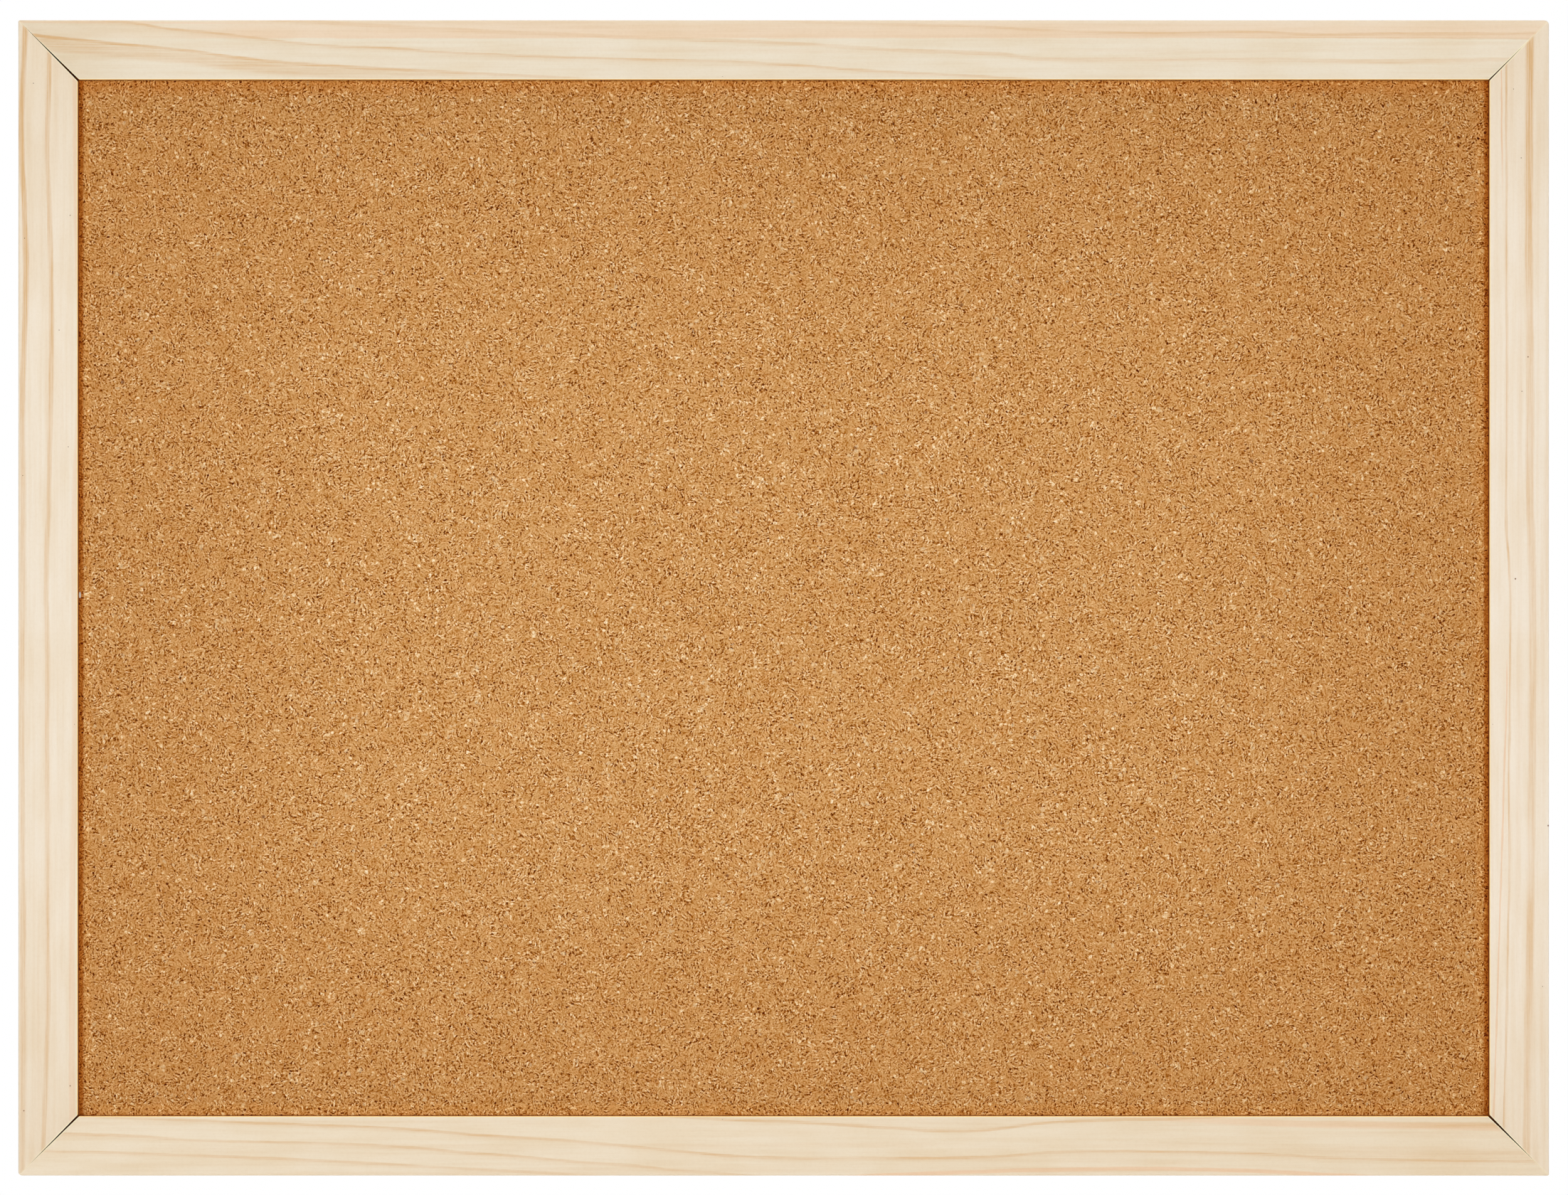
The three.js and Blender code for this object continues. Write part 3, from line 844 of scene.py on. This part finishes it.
corkLook = {
    "columns": 330,
    "rows": 245,
    "relief": 0.14,
    "reliefSize": 1.5,
    "waves": 0.10,
    "waveSize": 14.0,
    "flatMargin": 0.6,      # kept flat this far inside the sight edges
    # Granules lie in clumps, in two layers: a clump's size, how far they are stretched, and a shift
    "clumps": {"longer": (2.0, 0.72, 0), "other": (1.5, 0.68, 31)},
    # Each stroke's lit side and shaded side are painted light and shade of the granules' relief
    "strokeSize": 0.44,     # dark strokes between the granules, each with a lit side this far off
    "strokeShift": 0.17,
    "strokes": (0.46, 0.35),
    "ridgeSize": 0.42,
    "ridges": (0.54, 0.66),
    "patchSize": 1.5,       # strokes and ridges are stronger in rough patches, weaker on smooth faces
    "roughPatches": (0.38, 0.56, 1.0, 1.1),
    "smoothFaces": (0.25, 0.6, 0.55, 1.0),
    "pitSpacing": 1.1,
    "pits": (2, 0.65, 0.28, 0.14),     # which value of a cell, how often, outer and inner radius
    "flakeSpacing": 1.4,
    "flakes": (0, 0.3, 0.34, 0.22),
    "level": 0.54,          # the plain cork's place among the tones, and what moves it
    "clumpTone": 0.02,
    "granuleTone": 0.06,
    "shardTone": 0.05,
    "ridgeTone": 0.16,
    "strokeTone": -0.23,
    "paintedReliefTone": 1.25,
    "pitTone": -0.42,
    "flakeTone": 0.33,
    "tones": [              # from the pits to the palest flakes
        (0.0, paint(84, 22, 0)), (0.2, paint(148, 76, 0)), (0.38, paint(184, 121, 46)),
        (0.52, paint(206, 152, 90)), (0.7, paint(224, 175, 117)), (0.86, paint(241, 203, 150)),
        (1.0, paint(253, 232, 196)),
    ],
    "warm": 0.5,            # how strongly some clumps are tinted
    "warmClumps": (0.55, 0.9),
    "warmTint": (1.0, 0.93, 0.86, 1),
    # Single specks: how they lie, shift, spacing, how often, radius, strength, paint and how it goes on
    "strays": {
        "bark": ("flat", 0, 9.0, 0.3, 0.77, 0.75, paint(118, 64, 34), "MIX"),
        "chips": ("other", 5, 3.2, 0.55, 0.55, 0.5, paint(243, 216, 172), "MIX"),
        "grit": ("longer", 7, 1.7, 0.45, 0.36, 1.0, (0.48, 0.30, 0.14, 1), "MULTIPLY"),
    },
    # Painted shade near the frame, most in the corners and a little more to the right
    "shadeReach": 95,        # the sheet deepens this far in from the frame, and a little to the right
    "shadeEdge": 0.5,
    "shadeRight": (-60, 184, 0.04, 0.17),
    "shadeTint": (0.83, 0.74, 0.62, 1),
    # Painted shade and painted light along the sight edges: how far from which edge it starts and is full
    "rims": [
        ("top", 5.0, 1.8, (0.97, 0.86, 0.70, 1)),
        ("top", 1.7, 0.4, (1.15, 1.12, 1.0, 1)),
        ("sideOrBottom", 3.8, 1.6, (1.14, 1.11, 1.0, 1)),
        ("bottom", 1.6, 0.4, (1.1, 1.05, 1.0, 1)),
        ("end", 0.3, 0.1, (0.85, 0.75, 0.5, 1)),
        ("side", 1.5, 0.8, (0.86, 0.54, 0.20, 1)),
        ("side", 0.25, 0.0, (0.75, 0.60, 0.38, 1)),
    ],
    "splinterPlace": (-184.1, -142.4),  # a splinter of pale wood at the left edge
    "splinterStretch": (3.6, 1.15),
    "splinterEdge": (1.1, 0.8),
    "splinter": paint(246, 238, 220),
    "sheen": (0.3, 0.7, 0.8, 0.95),
    "nap": 0.14,
    "napSize": 0.5,
}


def makeCork():
    sheet = sheetFace("cork_sheet", corkLook, True)
    low, high = boxOf("cork_sheet")
    margin = railWidth + corkLook["flatMargin"]

    def inSight(place):
        return (abs(place.x - boardMiddle.x) < boardSize.x / 2 - margin
                and abs(place.z - boardMiddle.z) < boardSize.z / 2 - margin)

    sight = groupOf(sheet, "sight", inSight)
    granules = relief("granuleRelief", corkLook["reliefSize"], "VORONOI")
    displace(sheet, granules, corkLook["relief"], group=sight)
    displace(sheet, relief("sheetWaves", corkLook["waveSize"]), corkLook["waves"], group=sight)
    thicken(sheet, high.y - low.y)
    sheet.vertex_groups.clear()
    return sheet


def granuleLevel(tree, clump, otherClump, longer, other, patches):
    # Where each place stands among the cork's tones
    look = corkLook
    strokes = noise(tree, longer, look["strokeSize"], 1)
    ridges = noise(tree, other, look["ridgeSize"], 1)
    shift = look["strokeShift"]
    beside = noise(tree, mapped(tree, longer, move=(shift, 0, shift)), look["strokeSize"], 1)
    pit, flake = cells(tree, longer, look["pitSpacing"]), cells(tree, other, look["flakeSpacing"])

    rough = ranged(tree, patches, *look["roughPatches"])
    rough = times(tree, rough, ranged(tree, cellTone(tree, otherClump, 2), *look["smoothFaces"]))
    dark = times(tree, ranged(tree, strokes, *look["strokes"]), rough)
    light = times(tree, ranged(tree, ridges, *look["ridges"]), rough)
    # Painted light and shade of the granules' relief: a stroke against the same stroke shifted a little
    paintedRelief = times(tree, minus(tree, strokes, beside), rough)

    level = look["level"]
    for cell, channel, amount in ((clump, 0, "clumpTone"), (otherClump, 0, "clumpTone"),
                                  (pit, 0, "granuleTone"), (flake, 1, "shardTone")):
        level = stirred(tree, cellTone(tree, cell, channel), look[amount], level)
    for mask, amount in ((light, "ridgeTone"), (dark, "strokeTone"), (paintedRelief, "paintedReliefTone"),
                         (spots(tree, pit, *look["pits"]), "pitTone"),
                         (spots(tree, flake, *look["flakes"]), "flakeTone")):
        level = timesPlus(tree, mask, look[amount], level)
    return level


def rimShares(tree, place):
    # How much of each painted shade and painted light a place takes: near the frame, and along the sight
    # edges
    x, y, z = split(tree, place)
    toSide = minus(tree, boardSize.x / 2 - railWidth, maths(tree, "ABSOLUTE", x))
    toTop = minus(tree, boardHigh.z - railWidth, z)
    toBottom = minus(tree, z, boardLow.z + railWidth)
    toEnd = maths(tree, "MINIMUM", toTop, toBottom)
    nearSide, nearEnd = (ranged(tree, toEdge, 0, corkLook["shadeReach"], corkLook["shadeEdge"], 0)
                         for toEdge in (toSide, toEnd))
    # Painted shade near the frame, most in the corners
    deep = timesPlus(tree, nearSide, minus(tree, 1, nearEnd), nearEnd)
    deep = maths(tree, "ADD", deep, ranged(tree, x, *corkLook["shadeRight"]))
    edges = {"side": toSide, "top": toTop, "bottom": toBottom, "end": toEnd,
             "sideOrBottom": maths(tree, "MINIMUM", toSide, toBottom)}
    shares = [(deep, corkLook["shadeTint"])]
    for edge, start, full, tint in corkLook["rims"]:
        shares.append((ranged(tree, edges[edge], start, full), tint))
    return shares


def corkMaterial():
    look = corkLook
    material, tree, shader, objectPlace = newMaterial("agglomerated_cork", Specular_IOR_Level=0.08)
    place = inMillimetres(tree, objectPlace)

    def laid(clumpSize, stretch, shift):
        # Granules lie their own way in each clump
        moved = mapped(tree, place, move=(shift, 0, -shift))
        clump = cells(tree, moved, clumpSize)
        angle = times(tree, cellTone(tree, clump, 1), math.tau)
        values = {"Vector": moved, "Center": clump["Position"], "Angle": angle}
        vector = addNode(tree, "VectorRotate", values, rotation_type="Y_AXIS").outputs[0]
        return mapped(tree, vector, scale=(1, 1, stretch)), clump

    longer, clump = laid(*look["clumps"]["longer"])
    other, otherClump = laid(*look["clumps"]["other"])
    patches = noise(tree, place, look["patchSize"], 2, 0.6)
    level = granuleLevel(tree, clump, otherClump, longer, other, patches)
    ramp = addNode(tree, "ValToRGB", {0: level})
    elements = ramp.color_ramp.elements
    while len(elements) < len(look["tones"]):
        elements.new(0.5)
    for element, (position, tone) in zip(elements, look["tones"]):
        element.position, element.color = position, tone
    warm = times(tree, ranged(tree, cellTone(tree, clump, 2), *look["warmClumps"]), look["warm"])
    colour = mixed(tree, warm, ramp.outputs["Color"], look["warmTint"], "MULTIPLY")
    ways = {"flat": place, "longer": longer, "other": other}
    for way, shift, spacing, often, radius, strength, tint, blend in look["strays"].values():
        cell = cells(tree, mapped(tree, ways[way], move=(shift, 0, shift)), spacing)
        mask = spots(tree, cell, 1, often, radius / spacing, radius * 0.6 / spacing)
        colour = mixed(tree, times(tree, mask, strength), colour, tint, blend)
    # Painted shade near the frame and along the sight edges, and painted light where they would render too
    # dark
    for share, tint in rimShares(tree, place):
        colour = mixed(tree, share, colour, tint, "MULTIPLY")
    (wide, high), (x, z) = look["splinterStretch"], look["splinterPlace"]
    fromSplinter = lengthOf(tree, mapped(tree, place, (-wide * x, 0, -high * z), scale=(wide, 0, high)))
    colour = mixed(tree, ranged(tree, fromSplinter, *look["splinterEdge"]), colour, look["splinter"])

    feed(tree, colour, shader.inputs["Base Color"])
    feed(tree, ranged(tree, patches, *look["sheen"]), shader.inputs["Roughness"])
    bumped(tree, shader, noise(tree, place, look["napSize"], 1), look["nap"])
    return material


settle(makeCork(), "corkSheet", corkMaterial(), "cork", "board", "cork_sheet", smooth=60)
print("cork made")


# Backing card, a little wavy, and the softboard core

backingLook = {
    "columns": 63,
    "rows": 47,
    "waves": 0.05,
    "waveSize": 34.0,
    "fibres": {"Length": 1.3, "Dark": paint(166, 137, 100), "Light": paint(186, 158, 121),
               "Fleck": paint(132, 101, 69), "Flecks": 0.16},
    "nap": 0.03,
    "roughness": 0.8,
}
coreLook = {
    "fibres": {"Length": 1.6, "Dark": paint(138, 104, 68), "Light": paint(172, 138, 98),
               "Fleck": paint(96, 66, 40), "Flecks": 0.4},
    "nap": 0.2,
    "roughness": 0.95,
}
# Pressed fibres lie in two layers that cross: how fine they are along each axis, and their turn
fibreLook = {
    "layers": (((1, 5, 5), (0, 24, 0)), ((5, 5, 1.4), (0, -40, 0))),
    "detail": (2, 0.6, 0.6),
    "tones": (0.35, 0.66),
    "cloudSize": 22.0,
    "cloud": 0.22,
    "fleckSpacing": 0.8,    # flecks are measured in fibre lengths
    "fleckRadius": (0.22, 0.10),
    "fleckStrength": 0.6,
}


def makeBacking():
    card = sheetFace("backing_sheet", backingLook, False)
    low, high = boxOf("backing_sheet")
    displace(card, relief("cardWaves", backingLook["waveSize"]), backingLook["waves"], 1.0)
    thicken(card, low.y - high.y)
    return card


def fibreGroup():
    # Pressed fibres for the card and the softboard: a tone and its height
    tree, given, result = newGroup("pressedFibre", [
        ("Place", "Vector", None), ("Length", "Float", 2), ("Dark", "Color", None),
        ("Light", "Color", None), ("Fleck", "Color", None), ("Flecks", "Float", 0.3)],
        [("Color", "Color"), ("Height", "Float")])
    place = given["Place"]
    values = {0: place, "Scale": maths(tree, "DIVIDE", 1, given["Length"])}
    scaled = addNode(tree, "VectorMath", values, operation="SCALE").outputs[0]
    layers = [patterned(tree, scaled, scale, *fibreLook["detail"], turn)
              for scale, turn in fibreLook["layers"]]
    felt = times(tree, maths(tree, "ADD", *layers), 0.5)
    share = stirred(tree, noise(tree, place, fibreLook["cloudSize"], 3, 0.55), fibreLook["cloud"], felt)
    colour = mixed(tree, ranged(tree, share, *fibreLook["tones"]), given["Dark"], given["Light"])
    fleck = cells(tree, mapped(tree, scaled, scale=(1, 1, 3)), fibreLook["fleckSpacing"])
    mark = spots(tree, fleck, 0, given["Flecks"], *fibreLook["fleckRadius"])
    mark = times(tree, mark, fibreLook["fleckStrength"])
    feed(tree, mixed(tree, mark, colour, given["Fleck"]), result["Color"])
    feed(tree, felt, result["Height"])
    return tree


pressedFibre = fibreGroup()


def fibreMaterial(name, look):
    material, tree, shader, objectPlace = newMaterial(name, Roughness=look["roughness"])
    fibre = placeGroup(tree, pressedFibre, Place=inMillimetres(tree, objectPlace), **look["fibres"])
    feed(tree, fibre["Color"], shader.inputs["Base Color"])
    bumped(tree, shader, fibre["Height"], look["nap"])
    return material


settle(makeBacking(), "backingCard", fibreMaterial("kraft_card", backingLook), "backing_card", "board",
       "backing_sheet")
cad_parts["softboard_core"].material_slots[0].material = fibreMaterial("pressed_softboard", coreLook)
print("panel made")


# Hangers: a folded steel strip, a wire ring and a screw, modelled round the left eye's axis at x = 0

hangerLook = {
    "eyeZ": -52.2,
    "eyeY": 2.0,
    "foldY": 1.3,           # the middle of the strap's steel where it is folded over
    "steel": 0.8,
    "holeDrop": 13.0,
    "burr": 0.12,           # the round on cut steel
    "burrAngle": 50,
}

strapLook = {
    "width": 8.0,
    "end": -17.0,           # from the eye's axis down to the strap's round end
    "rollRadius": 1.6,      # from the eye's axis to the middle of the steel
    "rollSteps": 20,
    "neckRadius": 1.2,
    "neckSteps": 7,
    "endRound": 0.995,      # share of half the width
    "endSteps": 9,
    "holeSides": 32,
    "holeRadius": 1.7,
    "holeDepth": 4.0,
}


def makeStrap():
    look = strapLook
    half, end, eyeY = look["width"] / 2, look["end"], hangerLook["eyeY"]
    spread = look["rollRadius"] + look["neckRadius"]
    turn = math.acos((hangerLook["foldY"] - eyeY + look["neckRadius"]) / spread)
    degrees = math.degrees(turn)
    strap = block((-half, 0, end), (half, hangerLook["steel"], 0))
    edit(strap)
    pick(strap, "FACE", lambda c, n: n.z > 0.5)
    spin((0, eyeY, 0), 180 + degrees, (1, 0, 0), look["rollSteps"])
    neck = (0, eyeY + spread * math.cos(turn), -spread * math.sin(turn))
    spin(neck, -degrees, (1, 0, 0), look["neckSteps"])
    extrudeBy(0, 0, end - neck[2])

    def isEndCorner(a, b):
        return isNear(a.z, end) and isNear(b.z, end) and isNear(a.x, b.x) and isNear(abs(a.x), half)

    pick(strap, "EDGE", isEndCorner)
    bpy.ops.mesh.bevel(offset=half * look["endRound"], segments=look["endSteps"], affect="EDGES")
    done()
    drill(strap, look, 0, -hangerLook["holeDrop"])
    ease(strap, hangerLook["burr"], hangerLook["burrAngle"])
    return strap


ringLook = {
    "wireRadius": 1.0,
    "wireSides": 20,
    "halfWidth": 5.5,
    "corner": 1.6,
    "cornerSteps": 6,
    "arm": 1.4,             # straight wire between a corner and the bow
    "bowSteps": 28,
    "butt": 0.3,            # the gap between the wire's ends
    "lean": 8.396,          # degrees, as the ring hangs over its strap
}


def makeRing():
    look = ringLook
    corner, arm, butt = look["corner"], look["arm"], look["butt"] / 2
    cornerX = look["halfWidth"] - corner
    ring = begin(bpy.ops.mesh.primitive_circle_add, vertices=look["wireSides"], radius=look["wireRadius"],
                 fill_type="NGON", location=(butt, 0, 0), rotation=(0, math.pi / 2, 0))
    edit(ring)
    extrudeBy(cornerX - butt, 0, 0)
    spin((cornerX, 0, -corner), -90, (0, 1, 0), look["cornerSteps"])
    extrudeBy(0, 0, -arm)
    spin((0, 0, -corner - arm), -180, (0, 1, 0), look["bowSteps"])
    extrudeBy(0, 0, arm)
    spin((-cornerX, 0, -corner), -90, (0, 1, 0), look["cornerSteps"])
    extrudeBy(cornerX - butt, 0, 0)
    bpy.ops.mesh.select_all(action="SELECT")
    bpy.ops.mesh.remove_doubles(threshold=1e-4)
    faceOutwards()
    done()
    ease(ring, hangerLook["burr"], hangerLook["burrAngle"])
    ring.rotation_euler.x = math.radians(look["lean"])
    ring.location.y = hangerLook["eyeY"]
    freeze(ring)
    return ring


screwLook = {
    "head": 3.0,            # radii and heights
    "headSides": 40,
    "rim": 0.5,
    "height": 1.7,
    "domeSteps": 8,
    "domeAngle": 84,        # how far round the dome goes before its flat top
    "core": 1.08,
    "length": 9.5,
    "point": 2.4,
    "pointTip": 0.04,       # share of the core's radius
    "recess": (3.2, 0.9, 1.0),  # length, width and depth of each arm of the cross
    "recessTaper": (0.42, 0.6),
    "easing": 0.07,
    "easedAngle": 40,
}


def makeScrew():
    look = screwLook
    head, rim, height = look["head"], look["rim"], look["height"]
    screw = begin(bpy.ops.mesh.primitive_cylinder_add, vertices=look["headSides"], radius=head, depth=rim,
                  location=(0, 0, rim / 2))
    edit(screw)
    pick(screw, "FACE", lambda c, n: n.z > 0.9)
    steps = look["domeSteps"]
    for step in range(steps):
        near, far = (math.radians(look["domeAngle"]) * i / steps for i in (step, step + 1))
        extrudeBy(0, 0, (height - rim) * (math.sin(far) - math.sin(near)))
        shrinkBy(math.cos(far) / math.cos(near), math.cos(far) / math.cos(near))
    pick(screw, "FACE", lambda c, n: n.z < -0.9)
    bpy.ops.mesh.inset(thickness=head - look["core"])
    extrudeBy(0, 0, look["point"] - look["length"])
    extrudeBy(0, 0, -look["point"])
    shrinkBy(look["pointTip"], look["pointTip"])
    done()
    span, slot, deep = look["recess"]
    for turn in (0, 90):
        bar = block((-span / 2, -slot / 2, height - deep), (span / 2, slot / 2, height + deep))
        edit(bar)
        pick(bar, "VERT", lambda c: c.z < height)
        shrinkBy(*look["recessTaper"])
        done()
        bar.rotation_euler.z = math.radians(turn)
        freeze(bar)
        carve(screw, bar)
    ease(screw, look["easing"], look["easedAngle"])
    screw.rotation_euler.x = -math.pi / 2
    screw.location = (0, hangerLook["foldY"] + hangerLook["steel"] / 2, -hangerLook["holeDrop"])
    freeze(screw)
    return screw


# Steel: plating with rubbed spots and fine scratches

steelLook = {
    "zinc_plate": {"Plate": paint(202, 204, 208), "Dull": paint(170, 173, 178),
                   "Rust": paint(150, 110, 72), "Rusted": 0.35},
    "yellow_zinc": {"Plate": paint(208, 196, 156), "Dull": paint(182, 172, 138),
                    "Rust": paint(140, 104, 66), "Rusted": 0.4},
    "nail_steel": {"Plate": paint(120, 121, 124), "Dull": paint(92, 93, 97),
                   "Rust": paint(104, 72, 50), "Rusted": 0.6},
    "spangleSize": 2.2,     # patches of the plating, brighter and duller
    "gritSize": 0.35,
    "dulled": (0.35, 0.7),
    "rusty": (0.80, 0.92),
    "scratchFine": (0.25, 4, 4),
    "scratchTurn": (20, 35, 0),
    "scratches": (0.6, 0.72, 0, 0.35),
    "scratch": paint(236, 238, 240),
    "sheen": (0.3, 0.7, 0.24, 0.38),
    "depth": 0.02,
}


def steelGroup():
    tree, given, result = newGroup("rubbedSteel", [
        ("Place", "Vector", None), ("Plate", "Color", None), ("Dull", "Color", None),
        ("Rust", "Color", None), ("Rusted", "Float", 0)],
        [("Color", "Color"), ("Roughness", "Float"), ("Height", "Float")])
    place, look = given["Place"], steelLook
    spangle = noise(tree, place, look["spangleSize"], 3, 0.6)
    grit = noise(tree, place, look["gritSize"], 2, 0.6)
    scratch = patterned(tree, place, look["scratchFine"], 2, 0.6, 0.5, look["scratchTurn"])
    colour = mixed(tree, ranged(tree, spangle, *look["dulled"]), given["Plate"], given["Dull"])
    colour = mixed(tree, ranged(tree, scratch, *look["scratches"]), colour, look["scratch"])
    rust = ranged(tree, timesPlus(tree, grit, 0.35, spangle), *look["rusty"])
    rust = times(tree, rust, given["Rusted"])
    feed(tree, mixed(tree, rust, colour, given["Rust"]), result["Color"])
    rough = maths(tree, "ADD", ranged(tree, spangle, *look["sheen"]), times(tree, grit, 0.10))
    feed(tree, timesPlus(tree, rust, 0.3, rough), result["Roughness"])
    feed(tree, timesPlus(tree, grit, 0.6, times(tree, scratch, -0.4)), result["Height"])
    return tree


rubbedSteel = steelGroup()


def steelMaterial(name):
    material, tree, shader, objectPlace = newMaterial(name, Metallic=1.0)
    steel = placeGroup(tree, rubbedSteel, Place=inMillimetres(tree, objectPlace), **steelLook[name])
    feed(tree, steel["Color"], shader.inputs["Base Color"])
    feed(tree, steel["Roughness"], shader.inputs["Roughness"])
    bumped(tree, shader, steel["Height"], steelLook["depth"])
    return material


zinc, brassy, blueSteel = (steelMaterial(name) for name in ("zinc_plate", "yellow_zinc", "nail_steel"))

for makePiece, node, title, finish, slotName in (
    (makeStrap, "hanger_strap", "Strap", zinc, "plated_steel"),
    (makeRing, "hanger_ring", "Ring", zinc, "plated_steel"),
    (makeScrew, "hanger_screw", "Screw", brassy, "screw_steel"),
):
    model = makePiece()
    for side, piece in (("left", model), ("right", copyOf(model))):
        low, high = boxOf("hanger_strap_" + side)
        piece.location = ((low.x + high.x) / 2, 0, hangerLook["eyeZ"])
        body = side + "_ring" if node == "hanger_ring" else "board"
        settle(piece, side + title, finish, slotName, body, node + "_" + side)
for name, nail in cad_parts.items():
    if name.startswith("v_nail"):
        nail.material_slots[0].material = blueSteel
print("hangers and nails made")


# Camera, lamps, world and floor, in metres where no note says otherwise

studio = {
    "photoWidth": 409.67,   # millimetres of the frame's front plane across the picture
    "aim": (0.1, 0.12),     # millimetres right and up from the board's middle to the picture's
    "distance": 1.8,
    "sensor": 36.0,
    "ambient": 0.22,
    "lampDistance": 2.2,
    "lampSize": 1.25,
    "lamps": [              # azimuth and elevation in degrees, and share of a full white
        ("leftFront", -34, 8, 0.262),
        ("rightFront", 34, 8, 0.237),
        ("leftBack", 214, 10, 0.27),
        ("rightBack", 146, 10, 0.27),
        ("above", 0, 88, 0.50),
    ],
    "floorDrop": 0.12,
    "floorSize": 14.0,
    "floorPaints": (paint(250, 249, 248), paint(254, 254, 253)),
    "floorCloud": 0.05,
    "floorFade": (0.5, 1.3),  # how far out the floor starts to pass into the white backdrop
}


def placeCamera(middle):
    data = bpy.data.cameras.new("photoCamera")
    data.sensor_width = studio["sensor"]
    data.lens = studio["sensor"] * studio["distance"] * metre / studio["photoWidth"]
    camera = bpy.data.objects.new("photoCamera", data)
    right, up = (c / metre for c in studio["aim"])
    camera.location = (middle.x + right, boardLow.y / metre - studio["distance"], middle.z + up)
    camera.rotation_euler = (math.radians(90), 0, 0)
    bpy.context.collection.objects.link(camera)
    bpy.context.scene.camera = camera


def hangLamp(middle, name, azimuth, elevation, share):
    azimuth, elevation = math.radians(azimuth), math.radians(elevation)
    towards = Vector((math.sin(azimuth) * math.cos(elevation), -math.cos(azimuth) * math.cos(elevation),
                      math.sin(elevation)))
    # A lamp's share is reached on the side of the board that faces it most
    facing = max(abs(towards.y), abs(towards.z))
    data = bpy.data.lights.new(name, "AREA")
    data.shape = "DISK"
    data.size = studio["lampSize"]
    data.energy = share * math.pi ** 2 * studio["lampDistance"] ** 2 / facing
    lamp = bpy.data.objects.new(name, data)
    lamp.location = middle + towards * studio["lampDistance"]
    lamp.rotation_euler = towards.to_track_quat("Z", "Y").to_euler()
    lamp.visible_camera = False
    bpy.context.collection.objects.link(lamp)


def seenDirectly(tree):
    path = addNode(tree, "LightPath").outputs
    seen = maths(tree, "MAXIMUM", path["Is Camera Ray"], path["Is Glossy Ray"])
    return maths(tree, "MAXIMUM", seen, path["Is Transmission Ray"])


def makeWorld():
    world = bpy.data.worlds.new("studio")
    world.use_nodes = True
    bpy.context.scene.world = world
    tree = world.node_tree
    background = tree.nodes["Background"]
    background.inputs["Color"].default_value = (1, 1, 1, 1)
    feed(tree, ranged(tree, seenDirectly(tree), 0, 1, studio["ambient"], 1.0, "LINEAR"),
         background.inputs["Strength"])


def layFloor():
    floor = begin(bpy.ops.mesh.primitive_plane_add, size=studio["floorSize"])
    floor.location = (0, 0, boardLow.z / metre - studio["floorDrop"])
    floor.name = "floor"
    material, tree, shader, objectPlace = newMaterial("pale_floor", Roughness=0.9, Specular_IOR_Level=0.0)
    tone = noise(tree, objectPlace, studio["floorCloud"], 3)
    feed(tree, mixed(tree, tone, *studio["floorPaints"]), shader.inputs["Base Color"])
    away = ranged(tree, lengthOf(tree, objectPlace), *studio["floorFade"])
    fade = times(tree, away, seenDirectly(tree))
    glow = addNode(tree, "Emission", {"Color": (1, 1, 1, 1), "Strength": 1.0}).outputs[0]
    faded = addNode(tree, "MixShader", {0: fade, 1: shader.outputs[0], 2: glow}).outputs[0]
    feed(tree, faded, tree.nodes["Material Output"].inputs["Surface"])
    floor.data.materials.append(material)


placeCamera(boardMiddle / metre)
for lampSettings in studio["lamps"]:
    hangLamp(boardMiddle / metre, *lampSettings)
makeWorld()
layFloor()
bpy.context.scene.view_settings.view_transform = "Standard"
print("studio made")
